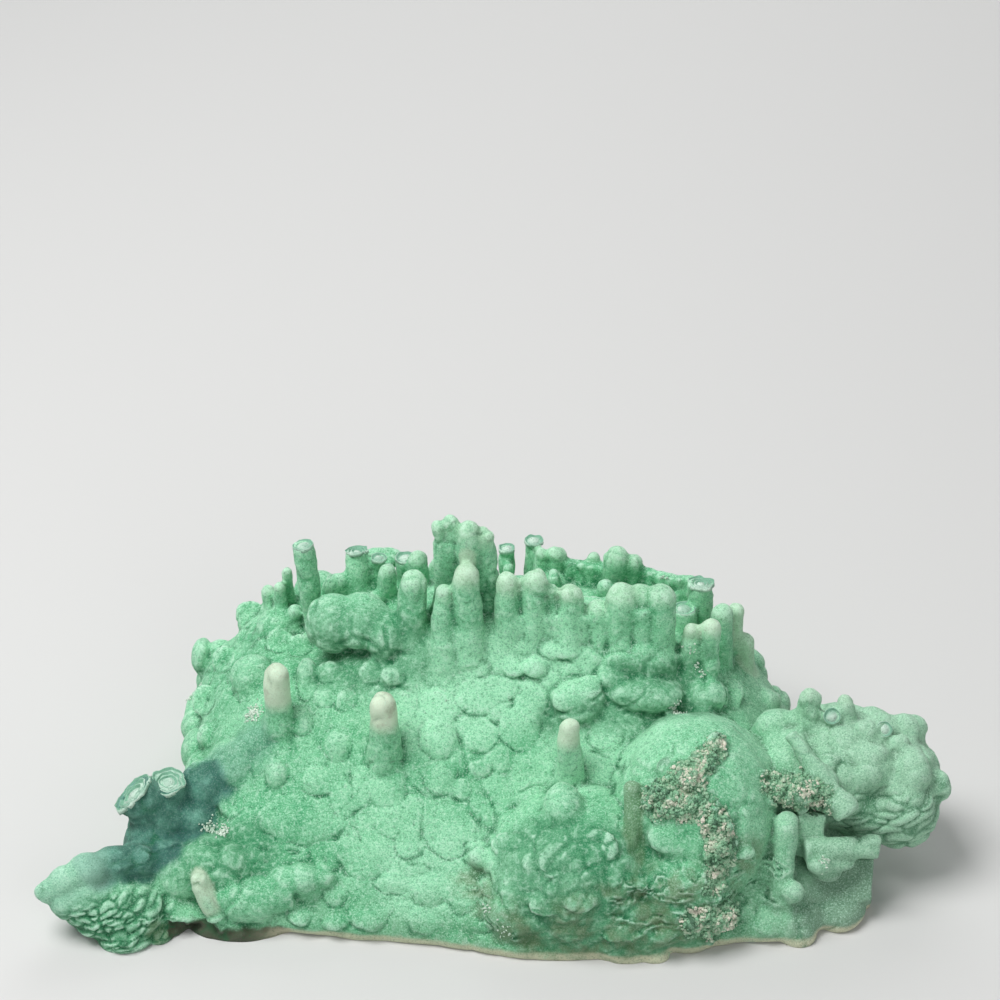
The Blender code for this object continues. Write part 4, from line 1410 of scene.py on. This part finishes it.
@dataclass
class Skin:
    """The continuous skin of the whole mass."""

    name: str = "malachite_skin"
    relief: Relief = field(default_factory=Relief)

    def build(self) -> bpy.types.Object:
        """Grows the forms into one skin with its fine relief.

        Returns:
            The skin, still laid out in millimetres.
        """
        obj = new_object(self.name, self._forms())
        self._fuse(obj)
        self._raise(obj)
        self._thin(obj)
        self._mark(obj.data)
        return obj

    def _forms(self) -> bmesh.types.BMesh:
        """Gathers every form as separate closed shapes that run into each other.

        Returns:
            The forms, joined.
        """
        forms = Forms()
        body = Mound(MOUND, PROFILE_STEPS).shape()
        tree = BVHTree.FromBMesh(body)
        forms.take(body)
        Scatter(SCATTER_SEED).add(forms, tree)
        shapes = [Lump(centre, radii) for centre, radii in LUMPS]
        shapes += [Lump(centre, radii, INCLINE) for centre, radii in NODULES]
        shapes += [Rod(*finger) for finger in FINGERS]
        shapes += [Rod(*tube, Ending.BROKEN) for tube in TUBES]
        shapes += [Curtain(*wall) for wall in WALLS]
        shapes += [Bar(*bar) for bar in BARS]
        shapes += [Slab(*slab) for slab in SLABS]
        for shape in shapes:
            shape.add(forms)
        return forms.finish()

    @staticmethod
    def _fuse(obj: bpy.types.Object) -> None:
        """Grows the forms together.

        Args:
            obj: The skin.
        """
        remesh = obj.modifiers.new("fuse", "REMESH")
        remesh.mode = "VOXEL"
        remesh.voxel_size = VOXEL
        soften = obj.modifiers.new("soften", "SMOOTH")
        soften.factor = 0.5
        soften.iterations = SOFTEN_STEPS
        apply_modifiers(obj)

    def _raise(self, obj: bpy.types.Object) -> None:
        """Moves the skin by its relief.

        Args:
            obj: The skin.
        """
        mesh = obj.data
        places = vectors_of(mesh.vertices, "co")
        normals = vectors_of(mesh.vertex_normals, "vector")
        fine, crease = self.relief.fine(places)
        add_attribute(mesh, "crease", crease)
        calm = smooth_step(TRUE_FOOT, CALM_FOOT, places[:, 2])
        places += normals * (self.relief.broad(places) + fine * calm)[:, None]
        mesh.vertices.foreach_set("co", places.astype(np.float32).ravel())
        mesh.update()

    def _thin(self, obj: bpy.types.Object) -> None:
        """Cuts the foot flat and thins the skin.

        Args:
            obj: The skin.
        """
        bm = bmesh.new()
        bm.from_mesh(obj.data)
        self._cut(bm)
        bm.to_mesh(obj.data)
        bm.free()
        LOG.info("skin thinned from %d triangles", len(obj.data.polygons))
        self._guard_front(obj)
        thin = obj.modifiers.new("thin", "DECIMATE")
        thin.vertex_group = "front"
        thin.invert_vertex_group = True
        thin.vertex_group_factor = GUARD_STRENGTH
        thin.ratio = min(1.0, SKIN_TRIANGLES / len(obj.data.polygons))
        apply_modifiers(obj)
        obj.vertex_groups.clear()

    @staticmethod
    def _guard_front(obj: bpy.types.Object) -> None:
        """Marks the side that shows most, so that thinning takes more from the rest.

        Args:
            obj: The skin.
        """
        front = vectors_of(obj.data.vertex_normals, "vector") @ np.array(FACING) > -0.05
        group = obj.vertex_groups.new(name="front")
        group.add([int(i) for i in np.flatnonzero(front)], FRONT_GUARD, "REPLACE")

    @staticmethod
    def _cut(bm: bmesh.types.BMesh) -> None:
        """Cuts the mass off flat at its foot and closes the cut.

        Args:
            bm: The skin's mesh.
        """
        cut = bmesh.ops.bisect_plane(
            bm,
            geom=list(bm.verts) + list(bm.edges) + list(bm.faces),
            dist=0.02,
            plane_co=(0, 0, TRUE_FOOT),
            plane_no=(0, 0, 1),
            clear_inner=True,
        )
        edges = [item for item in cut["geom_cut"] if isinstance(item, bmesh.types.BMEdge)]
        bmesh.ops.holes_fill(bm, edges=edges, sides=0)
        bmesh.ops.triangulate(bm, faces=bm.faces)

    def _mark(self, mesh: bpy.types.Mesh) -> None:
        """Stores what the finish needs to know at each vertex.

        Args:
            mesh: The skin's mesh.
        """
        places = vectors_of(mesh.vertices, "co")
        normals = vectors_of(mesh.vertex_normals, "vector")
        # Hollows and grooves get painted shade in the finish, and what stands out gets painted
        # highlights.
        broad = self._hollow(mesh, places, normals, HOLLOW_ROUNDS)
        fine = self._hollow(mesh, places, normals, GROOVE_ROUNDS)
        add_attribute(mesh, "hollow", np.clip(0.5 + 0.45 * broad, 0, 1))
        add_attribute(mesh, "groove", np.clip(0.5 + 2.2 * fine, 0, 1))
        edge = smooth_step(3.2, 2.0, places[:, 2]) * smooth_step(0.0, 0.4, -normals[:, 1])
        add_attribute(mesh, "rim", edge * smooth_step(-60, -48, places[:, 0]))
        # How far each place faces up; the finish lays more pale grit there, a painted highlight from the
        # light above.
        add_attribute(mesh, "top", np.clip(normals[:, 2], 0, 1))
        # Near the foot, faces that don't face up get a darker, duller green: painted shade.
        low = smooth_step(20, 4, places[:, 2]) * smooth_step(-90, 10, places[:, 0])
        add_attribute(mesh, "low", low * smooth_step(0.9, 0.6, normals[:, 2]))
        blue = np.maximum(BLUE.share(places), 0.5 * BLUE_RIDGE.share(places))
        add_attribute(mesh, "blue", blue)
        add_attribute(mesh, "shade", np.maximum(SHADE.share(places), BOULDER_SHADE.share(places)))
        add_attribute(mesh, "grey", smooth_step(50, 84, places[:, 0]))
        add_attribute(mesh, "tip", self._tips(places))
        for name, region in MARKED.items():
            add_attribute(mesh, name, region.share(places))

    @staticmethod
    def _hollow(mesh: bpy.types.Mesh, places: np.ndarray, normals: np.ndarray, steps: int) -> np.ndarray:
        """Finds how far each place lies under the mean of those around it.

        Args:
            mesh: The skin's mesh.
            places: Its places, one in each row.
            normals: Its normals, one in each row.
            steps: How many rounds of neighbours the mean takes in.

        Returns:
            The depths, in millimetres.
        """
        count = len(places)
        ends = np.empty(len(mesh.edges) * 2, dtype=np.int32)
        mesh.edges.foreach_get("vertices", ends)
        first, second = ends.reshape(-1, 2).T
        links = np.bincount(first, minlength=count) + np.bincount(second, minlength=count)
        smooth = places.copy()
        for _ in range(steps):
            mean = np.empty_like(smooth)
            for k in range(3):
                mean[:, k] = np.bincount(first, smooth[second, k], count)
                mean[:, k] += np.bincount(second, smooth[first, k], count)
            smooth = 0.5 * smooth + 0.5 * mean / np.maximum(links, 1)[:, None]
        return ((smooth - places) * normals).sum(axis=1)

    @staticmethod
    def _tips(places: np.ndarray) -> np.ndarray:
        """Finds the pale tips of the stalactites.

        Args:
            places: The skin's places, one in each row.

        Returns:
            How pale each place is, from 0 to 1.
        """
        share = np.zeros(len(places))
        for number, (foot, tip, foot_radius, tip_radius) in enumerate(FINGERS):
            distance, along_rod = rod_distance(places, foot, tip)
            radius = foot_radius + (tip_radius - foot_radius) * np.clip(along_rod, 0, 1)
            reach, strength = TIP_PALE.get(number, TIP_COMMON)
            near = smooth_step(radius + 0.9, radius + 0.2, distance)
            start = smooth_step(reach - 0.12, reach + 0.08, along_rod)
            share = np.maximum(share, strength * near * start)
        return share


# ---------------------------------------------------------------- grains and broken ends


@dataclass(frozen=True)
class Granules:
    """The coarse grains of the granular crusts."""

    region: Region
    count: int
    radius: tuple[float, float]
    seed: int
    name: str

    def build(self, tree: BVHTree) -> bpy.types.Object:
        """Scatters the grains over the skin.

        Args:
            tree: The skin's surface.

        Returns:
            The grains, joined.
        """
        rng = random.Random(self.seed)
        forms = Forms()
        tones = []
        strokes = self.region.strokes
        lengths = [(Vector(end) - Vector(start)).length + 1.4 * reach for start, end, reach in strokes]
        weights = [length * stroke[2] for length, stroke in zip(lengths, strokes)]
        for _ in range(self.count):
            start, end, reach = rng.choices(strokes, weights)[0]
            spot = Vector(start).lerp(Vector(end), rng.uniform(-0.1, 1.1))
            spot += Vector([rng.uniform(-1, 1) * reach for _ in range(3)])
            place, normal, _, _ = tree.find_nearest(spot)
            inside = self.region.share(np.array([place]))[0]
            if inside < 0.25 or normal.dot(Vector(FACING)) < -0.3:
                continue
            radius = self.radius[0] + (self.radius[1] - self.radius[0]) * rng.random() ** 2
            radius *= 0.55 + 0.45 * inside
            tone = 0.50 + 0.9 * noise.noise(place / CLUMP) + rng.uniform(-0.3, 0.3)
            tones += [tone] * self._grain(forms, rng, place + normal * radius * 0.3, radius)
        obj = new_object(self.name, forms.finish())
        add_attribute(obj.data, "tone", np.array(tones))
        return obj

    @staticmethod
    def _grain(forms: Forms, rng: random.Random, place: Vector, radius: float) -> int:
        """Adds one rough grain.

        Args:
            forms: What gathers the shapes.
            rng: The source of chance.
            place: The grain's middle.
            radius: Its mean radius.

        Returns:
            The number of its vertices.
        """
        bm = bmesh.new()
        size = Matrix.Diagonal([radius * rng.uniform(0.6, 1.4) for _ in range(3)] + [1.0])
        turn = Euler([rng.uniform(0, math.tau) for _ in range(3)]).to_matrix().to_4x4()
        placing = Matrix.Translation(place) @ turn @ size
        bmesh.ops.create_icosphere(bm, subdivisions=1, radius=1.0, matrix=placing)
        for vert in bm.verts:
            vert.co += (vert.co - place) * rng.uniform(-0.25, 0.25)
        count = len(bm.verts)
        forms.take(bm)
        return count


@dataclass(frozen=True)
class Crystals:
    """Tiny pale crystals in pockets of the skin."""

    spots: tuple
    seed: int
    name: str

    def build(self, tree: BVHTree) -> bpy.types.Object:
        """Stands the crystals on the skin.

        Args:
            tree: The skin's surface.

        Returns:
            The crystals, joined.
        """
        rng = random.Random(self.seed)
        forms = Forms()
        for centre, reach, count in self.spots:
            for _ in range(count):
                spot = Vector(centre) + Vector([rng.gauss(0, reach * 0.5) for _ in range(3)])
                place, normal, _, _ = tree.find_nearest(spot)
                forms.take(self._crystal(rng, place, normal))
        obj = new_object(self.name, forms.finish())
        add_attribute(obj.data, "tone", np.ones(len(obj.data.vertices)))
        return obj

    @staticmethod
    def _crystal(rng: random.Random, place: Vector, normal: Vector) -> bmesh.types.BMesh:
        """Makes one crystal.

        Args:
            rng: The source of chance.
            place: Where it stands.
            normal: The way that the skin faces there.

        Returns:
            The crystal.
        """
        lean = Vector([rng.uniform(-CRYSTAL_LEAN, CRYSTAL_LEAN) for _ in range(3)])
        way = (normal + lean).normalized()
        width = rng.uniform(*CRYSTAL_WIDTH)
        end = place + way * rng.uniform(*CRYSTAL_LENGTH)
        bm = bmesh.new()
        bmesh.ops.create_cone(
            bm,
            cap_ends=True,
            segments=5,
            radius1=width,
            radius2=width * CRYSTAL_TAPER,
            depth=(end - place).length,
            matrix=along(place - way * 0.1, end),
        )
        return bm


@dataclass(frozen=True)
class BrokenEnd:
    """The growth rings that show where a stalactite is broken off."""

    centre: Vec
    way: Vec
    radius: float
    rings: int
    waver: float

    def add(self, forms: Forms, tones: list[float]) -> None:
        """Adds the ringed disc.

        Args:
            forms: What gathers the shapes.
            tones: Gets the paleness of each vertex.
        """
        bm = bmesh.new()
        turn = Vector(self.way).to_track_quat("Z", "Y").to_matrix().to_4x4()
        place = Matrix.Translation(Vector(self.centre)) @ turn
        bmesh.ops.create_cone(
            bm,
            cap_ends=True,
            segments=RING_SIDES,
            radius1=self.radius * 1.02,
            radius2=self.radius,
            depth=0.9,
        )
        top = max(bm.faces, key=lambda face: face.calc_center_median().z)
        width = self.radius / (self.rings + 0.6)
        shade = {vert: 0.9 for vert in bm.verts}
        for _ in range(self.rings):
            for thickness, depth, tone in RING_STEPS:
                known = set(bm.verts)
                bmesh.ops.inset_region(bm, faces=[top], thickness=width * thickness, depth=depth)
                for vert in bm.verts:
                    if vert not in known:
                        shade[vert] = tone
        for vert in bm.verts:
            wave = noise.noise(vert.co * 0.6 + Vector(self.centre))
            vert.co.xy *= 1.0 + self.waver * wave
            vert.co.z += 0.35 * noise.noise(vert.co * 0.7 - Vector(self.centre))
        bmesh.ops.transform(bm, matrix=place, verts=bm.verts)
        tones += [shade[vert] for vert in bm.verts]
        forms.take(bm)


# ---------------------------------------------------------------- shader maths


class Signal:
    """A shader socket's output, with arithmetic that adds the Math nodes."""

    def __init__(self, wiring: "Wiring", socket: bpy.types.NodeSocket) -> None:
        """Wraps a socket of a material's nodes."""
        self.wiring = wiring
        self.socket = socket

    def _math(self, operation: str, first: object, second: object) -> "Signal":
        """Adds a Math node for an operator."""
        return self.wiring.node("ShaderNodeMath", {"operation": operation}, {0: first, 1: second})

    def __add__(self, other: object) -> "Signal":
        """Adds."""
        return self._math("ADD", self, other)

    def __radd__(self, other: object) -> "Signal":
        """Adds, the other way round."""
        return self._math("ADD", other, self)

    def __sub__(self, other: object) -> "Signal":
        """Subtracts."""
        return self._math("SUBTRACT", self, other)

    def __rsub__(self, other: object) -> "Signal":
        """Subtracts, the other way round."""
        return self._math("SUBTRACT", other, self)

    def __mul__(self, other: object) -> "Signal":
        """Multiplies."""
        return self._math("MULTIPLY", self, other)

    def __rmul__(self, other: object) -> "Signal":
        """Multiplies, the other way round."""
        return self._math("MULTIPLY", other, self)

    def ramp(self, low: float, high: float) -> "Signal":
        """Maps low to 0 and high to 1, smoothly, and holds the ends.

        Args:
            low: The value that gives 0.
            high: The value that gives 1, above or below low.

        Returns:
            The mapped value.
        """
        settings = {"interpolation_type": "SMOOTHSTEP"}
        sockets = {"Value": self, "From Min": low, "From Max": high}
        return self.wiring.node("ShaderNodeMapRange", settings, sockets)


@dataclass
class Wiring:
    """The nodes of one material."""

    material: bpy.types.Material

    @classmethod
    def start(cls, name: str) -> "Wiring":
        """Starts a material with its shader.

        Args:
            name: The material's name.

        Returns:
            Its wiring.
        """
        material = bpy.data.materials.new(name)
        material.use_nodes = True
        return cls(material)

    @property
    def shader(self) -> bpy.types.Node:
        """Gives the material's Principled shader."""
        return self.material.node_tree.nodes["Principled BSDF"]

    def node(self, kind: str, settings: dict, sockets: dict, output: object = 0) -> Signal:
        """Adds a node.

        Args:
            kind: The node's type.
            settings: Its settings, which are set first.
            sockets: The values or links of its sockets, by name or number.
            output: The name or number of the output wanted.

        Returns:
            The output.
        """
        made = self.material.node_tree.nodes.new(kind)
        for name, value in settings.items():
            setattr(made, name, value)
        for name, value in sockets.items():
            self.set(made.inputs[name], value)
        return Signal(self, made.outputs[output])

    def set(self, socket: bpy.types.NodeSocket, value: object) -> None:
        """Gives a socket a value or a link.

        Args:
            socket: The socket.
            value: A number, a colour or an output.
        """
        if isinstance(value, Signal):
            self.material.node_tree.links.new(value.socket, socket)
        else:
            socket.default_value = value

    def place(self) -> Signal:
        """Gives the piece's own coordinates."""
        return self.node("ShaderNodeTexCoord", {}, {}, "Object")

    def mark(self, name: str) -> Signal:
        """Gives a number that the mesh holds."""
        return self.node("ShaderNodeAttribute", {"attribute_name": name}, {}, "Fac")

    def noise(self, scale: float, detail: float = 3.0, rough: float = 0.55) -> Signal:
        """Gives a noise.

        Args:
            scale: Its cells a metre.
            detail: The finer layers added to it.
            rough: How strong each finer layer is.

        Returns:
            The noise, about 0 to 1.
        """
        sockets = {"Vector": self.place(), "Scale": scale, "Detail": detail, "Roughness": rough}
        return self.node("ShaderNodeTexNoise", {}, sockets, "Fac")

    def blend(self, share: object, first: object, second: object) -> Signal:
        """Mixes two colours.

        Args:
            share: The share of the second colour.
            first: The first colour or output.
            second: The second colour or output.

        Returns:
            The mixed colour.
        """
        settings = {"data_type": "RGBA"}
        return self.node("ShaderNodeMix", settings, {"Factor": share, 6: first, 7: second}, 2)

    def bump(self, height: Signal, depth: float, strength: float = 1.0) -> Signal:
        """Turns a height into a bent normal.

        Args:
            height: The height, about 0 to 1.
            depth: What 1 stands for, in metres.
            strength: The share of the bend that shows.

        Returns:
            The normal.
        """
        sockets = {"Height": height, "Distance": depth, "Strength": strength}
        return self.node("ShaderNodeBump", {}, sockets)


def paint(red: int, green: int, blue: int) -> Colour:
    """Turns a colour as it is seen on a screen, 0 to 255, into a shader's linear colour.

    Args:
        red: Its red.
        green: Its green.
        blue: Its blue.

    Returns:
        The linear colour.
    """
    share = [c / 255 for c in (red, green, blue)]
    linear = [c / 12.92 if c <= 0.04045 else ((c + 0.055) / 1.055) ** 2.4 for c in share]
    return (*linear, 1.0)


@dataclass(frozen=True)
class MalachiteFinish:
    """The velvety green of the skin, its pale tips, blue lobe and rock, with painted shade in hollows,
    creases and recesses and painted highlights on what stands out and faces up.
    """

    frost_and_highlight: Colour = paint(206, 244, 220)
    bright: Colour = paint(172, 238, 196)
    light: Colour = paint(144, 216, 170)
    middle: Colour = paint(84, 174, 122)
    deep: Colour = paint(20, 106, 64)
    dark: Colour = paint(10, 52, 34)
    low: Colour = paint(72, 124, 84)
    tip: Colour = paint(216, 232, 206)
    tip_stain: Colour = paint(150, 138, 118)
    arm: Colour = paint(158, 206, 182)
    blue: Colour = paint(40, 84, 84)
    pale_blue: Colour = paint(104, 166, 150)
    stain: Colour = paint(98, 128, 88)
    slate: Colour = paint(96, 122, 104)
    grey: Colour = paint(158, 194, 168)
    brown: Colour = paint(104, 112, 78)
    rock: Colour = paint(66, 64, 48)
    rim: Colour = paint(218, 214, 184)
    crust: Colour = paint(78, 128, 94)

    def make(self) -> bpy.types.Material:
        """Makes the material.

        Returns:
            The material.
        """
        w = Wiring.start("malachite_skin")
        mottle = w.noise(240, 4)
        grit = w.noise(2600, 2, 0.7)
        speck = w.noise(5200, 1, 0.5)
        colour = self._greens(w, mottle)
        colour = self._tints(w, mottle, colour)
        colour = self._creases(w, colour)
        colour = self._frosting_and_top_light(w, grit, colour)
        w.set(w.shader.inputs["Base Color"], colour)
        w.set(w.shader.inputs["Roughness"], 0.85 - 0.4 * speck.ramp(0.58, 0.70))
        w.set(w.shader.inputs["Normal"], w.bump(0.6 * grit + 0.4 * speck, 0.0003, 0.8))
        w.shader.inputs["Sheen Weight"].default_value = 0.1
        w.shader.inputs["Sheen Roughness"].default_value = 0.5
        w.shader.inputs["Specular IOR Level"].default_value = 0.35
        return w.material

    def _greens(self, w: Wiring, mottle: Signal) -> Signal:
        """Lays the greens, with painted shade deep in hollows, grooves and the shade regions, painted
        light in the pale regions, and painted highlights pale on what stands out.

        Args:
            w: The material's wiring.
            mottle: The noise that mottles the greens.

        Returns:
            The colour.
        """
        hollow = w.mark("hollow")
        groove = w.mark("groove")
        cloud = w.noise(48, 4)
        fleck = w.noise(900, 3, 0.6)
        patches = 0.6 * cloud.ramp(0.38, 0.62) + 0.4 * mottle.ramp(0.3, 0.7)
        colour = w.blend(patches, self.middle, self.light)
        # Painted light in the pale regions, then painted shade in the shade regions.
        colour = w.blend(w.mark("pale") * 0.55, colour, self.bright)
        colour = w.blend(w.mark("shade") * 0.5, colour, self.deep)
        # Painted shade in hollows and grooves, and painted highlights on what stands out.
        colour = w.blend(hollow.ramp(0.50, 0.80) * 0.85, colour, self.deep)
        colour = w.blend(hollow.ramp(0.52, 0.20) * 0.5, colour, self.light)
        colour = w.blend(groove.ramp(0.54, 0.90) * 0.6, colour, self.deep)
        colour = w.blend(groove.ramp(0.46, 0.15) * 0.6, colour, self.frost_and_highlight)
        colour = w.blend(fleck.ramp(0.50, 0.68) * 0.3, colour, self.frost_and_highlight)
        return w.blend(fleck.ramp(0.46, 0.30) * 0.4, colour, self.deep)

    def _tints(self, w: Wiring, mottle: Signal, colour: Signal) -> Signal:
        """Tints the regions: the darker green near the foot, which is painted shade, the blue trunk with
        painted highlights on its ridges, tips, stains, rock and crusts darkened partly with painted
        shade, and rim.

        Args:
            w: The material's wiring.
            mottle: The noise that breaks up the tints.
            colour: The colour so far.

        Returns:
            The tinted colour.
        """
        # Painted shade: darker, duller green near the foot on faces that don't face up.
        colour = w.blend(w.mark("low") * mottle.ramp(0.2, 0.6) * 0.55, colour, self.low)
        colour = w.blend(w.mark("grey") * 0.65, colour, self.grey)
        colour = w.blend(w.mark("brown") * mottle.ramp(0.35, 0.65) * 0.6, colour, self.brown)
        # The blue trunk's streaks, with painted highlights on its ridges.
        streaks_and_ridge_highlights = 0.45 * mottle.ramp(0.40, 0.66) + 0.4 * w.mark("groove").ramp(0.5, 0.2)
        blues = w.blend(streaks_and_ridge_highlights, self.blue, self.pale_blue)
        colour = w.blend(w.mark("blue") * 0.85, colour, blues)
        colour = w.blend(w.mark("arm") * 0.6, colour, self.arm)
        colour = w.blend(w.mark("stain") * 0.7, colour, self.stain)
        colour = w.blend(w.mark("slate") * 0.5, colour, self.slate)
        tips = w.blend(mottle.ramp(0.50, 0.72) * 0.5, self.tip, self.tip_stain)
        colour = w.blend(w.mark("tip"), colour, tips)
        # The rock, painted dark partly for the shade under the rim.
        colour = w.blend(w.mark("rock") * 0.95, colour, self.rock)
        # The crusts' bed, darker green that shows between the grains: partly painted shade.
        colour = w.blend(w.mark("crust") * 0.8, colour, self.crust)
        return w.blend(w.mark("rim") * mottle.ramp(0.2, 0.42) * 0.8, colour, self.rim)

    def _creases(self, w: Wiring, colour: Signal) -> Signal:
        """Darkens the creases with painted shade.

        Args:
            w: The material's wiring.
            colour: The colour so far.

        Returns:
            The darkened colour.
        """
        crease = w.mark("crease")
        colour = w.blend(crease.ramp(0.0, 0.8) * 0.75, colour, self.deep)
        return w.blend(crease.ramp(0.55, 1.0) * 0.6, colour, self.dark)

    def _frosting_and_top_light(self, w: Wiring, grit: Signal, colour: Signal) -> Signal:
        """Dusts the skin with pale grains and dark pores; the grains gather most on what faces up, a
        painted highlight from the light above.

        Args:
            w: The material's wiring.
            grit: The noise of the finest grains.
            colour: The colour so far.

        Returns:
            The dusted colour.
        """
        # Pale grit, heavier on what faces up: real grit with a painted highlight.
        frost_and_top_light = grit.ramp(0.50, 0.70) * (0.22 + 0.40 * w.mark("top")) * (1.0 - 0.75 * w.mark("blue"))
        frost_and_top_light = frost_and_top_light * (1.0 - 0.6 * w.mark("shade")) * (1.0 - w.mark("rock"))
        colour = w.blend(frost_and_top_light, colour, self.frost_and_highlight)
        return w.blend(grit.ramp(0.48, 0.30) * (0.5 - 0.4 * w.mark("tip")), colour, self.deep)


@dataclass(frozen=True)
class GrainFinish:
    """The pale, gritty look of coarse grains."""

    name: str
    pale: Colour
    green: Colour
    dark: Colour

    def make(self) -> bpy.types.Material:
        """Makes the material.

        Returns:
            The material.
        """
        w = Wiring.start(self.name)
        tone = w.mark("tone")
        patch = w.noise(210, 2)
        grit = w.noise(2400, 2, 0.7)
        colour = w.blend(tone.ramp(0.3, 1.05), self.green, self.pale)
        colour = w.blend(patch.ramp(0.45, 0.65) * 0.6, colour, self.green)
        colour = w.blend(tone.ramp(0.25, 0.0) * 0.8, colour, self.dark)
        colour = w.blend(grit.ramp(0.5, 0.3) * 0.5, colour, self.dark)
        w.set(w.shader.inputs["Base Color"], colour)
        w.set(w.shader.inputs["Roughness"], 0.8 - 0.3 * grit)
        w.set(w.shader.inputs["Normal"], w.bump(grit, 0.0003, 0.7))
        return w.material


CRUST_FINISH = GrainFinish(
    "granular_crust", paint(230, 224, 208), paint(138, 190, 152), paint(40, 78, 56)
)
CRYSTAL_FINISH = GrainFinish(
    "pale_crystals", paint(226, 240, 226), paint(170, 206, 182), paint(120, 150, 124)
)
ENDS_FINISH = GrainFinish(
    "broken_ends", paint(206, 230, 214), paint(118, 172, 144), paint(56, 104, 86)
)


# ---------------------------------------------------------------- the studio


# Lamps: name, place and size in metres, and power in watts.
LAMPS = (
    ("key_light", (-0.42, -0.10, 1.0), 0.55, 11.0),
    ("fill_light", (0.45, -0.90, 0.50), 0.7, 2.6),
    ("back_light", (0.1, 0.8, 0.6), 0.6, 2.4),
)
BACKDROP = (0.92, 0.93, 0.95, 1.0)
BACKDROP_STRENGTH = 0.25
FLOOR_COLOUR = (0.62, 0.62, 0.61, 1.0)


@dataclass(frozen=True)
class Studio:
    """A pale floor, soft light and the camera."""

    eye: Vec = (0.0, -425.6, 420.2)
    pitch: float = 55.9
    lens: float = 90.0
    floor_size: float = 6.0

    def build(self) -> None:
        """Sets the scene around the specimen."""
        self._floor()
        for lamp in LAMPS:
            self._light(*lamp)
        world = bpy.data.worlds.new("studio")
        world.use_nodes = True
        backdrop = world.node_tree.nodes["Background"]
        backdrop.inputs["Color"].default_value = BACKDROP
        backdrop.inputs["Strength"].default_value = BACKDROP_STRENGTH
        bpy.context.scene.world = world
        bpy.context.scene.view_settings.view_transform = "Standard"
        self._camera()

    def _floor(self) -> None:
        """Lays the floor."""
        bm = bmesh.new()
        bmesh.ops.create_grid(bm, x_segments=1, y_segments=1, size=self.floor_size / 2)
        floor = new_object("studio_floor", bm)
        w = Wiring.start("studio_floor")
        w.shader.inputs["Base Color"].default_value = FLOOR_COLOUR
        w.shader.inputs["Roughness"].default_value = 0.9
        floor.data.materials.append(w.material)

    @staticmethod
    def _light(name: str, place: Vec, size: float, power: float) -> None:
        """Hangs a square soft light that faces the specimen.

        Args:
            name: The light's name.
            place: Where it hangs, in metres.
            size: Its width, in metres.
            power: Its power, in watts.
        """
        light = bpy.data.lights.new(name, "AREA")
        light.size = size
        light.energy = power
        obj = bpy.data.objects.new(name, light)
        obj.location = place
        obj.rotation_euler = (-Vector(place)).to_track_quat("-Z", "Y").to_euler()
        bpy.context.scene.collection.objects.link(obj)

    def _camera(self) -> None:
        """Stands the camera in front of the specimen and above it."""
        data = bpy.data.cameras.new("camera")
        data.sensor_width = 36.0
        data.lens = self.lens
        camera = bpy.data.objects.new("camera", data)
        x, y, z = self.eye
        camera.location = ((x - MIDDLE[0]) * MM, (y - MIDDLE[1]) * MM, (z - TRUE_FOOT) * MM)
        camera.rotation_euler = (math.radians(self.pitch), 0, 0)
        bpy.context.scene.collection.objects.link(camera)
        bpy.context.scene.camera = camera


def hand_over(piece: bpy.types.Object, finish: bpy.types.Material, replaces: bool = False) -> None:
    """Settles a finished piece into the frame and ties it to the specimen.

    Args:
        piece: The piece, laid out in millimetres.
        finish: Its material.
        replaces: Whether it stands for the solid.
    """
    settle(piece)
    piece.data.materials.append(finish)
    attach(piece, BODY)
    if replaces:
        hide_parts(NODE)
    LOG.info("%s: %d faces", piece.name, len(piece.data.polygons))


def build_ends() -> bpy.types.Object:
    """Builds the growth rings of every broken stalactite.

    Returns:
        The rings, joined.
    """
    forms = Forms()
    tones: list[float] = []
    for foot, rim, _, radius in TUBES:
        way = (Vector(rim) - Vector(foot)).normalized()
        spot = Vector(rim) - way * RING_SINK
        rings, waver = WIDE_RINGS if radius > NARROW_TUBE else NARROW_RINGS
        BrokenEnd(tuple(spot), tuple(way), radius * 0.96, rings, waver).add(forms, tones)
    obj = new_object("broken_ends", forms.finish())
    add_attribute(obj.data, "tone", np.array(tones))
    return obj


def main() -> None:
    """Builds the specimen's visible pieces in order."""
    logging.basicConfig(level=logging.INFO, format="%(relativeCreated)d %(name)s %(message)s")
    Studio().build()
    skin = Skin().build()
    verts = [vert.co for vert in skin.data.vertices]
    tree = BVHTree.FromPolygons(verts, [tuple(face.vertices) for face in skin.data.polygons])
    crust = Granules(CRUST, GRAIN_COUNT, GRAIN_RADIUS, GRAIN_SEED, "granular_crust").build(tree)
    crystals = Crystals(CRYSTALS, CRYSTAL_SEED, "pale_crystals").build(tree)
    ends = build_ends()
    hand_over(skin, MalachiteFinish().make(), replaces=True)
    hand_over(crust, CRUST_FINISH.make())
    crust.data.shade_flat()
    hand_over(crystals, CRYSTAL_FINISH.make())
    hand_over(ends, ENDS_FINISH.make())


if __name__ == "__main__":
    main()
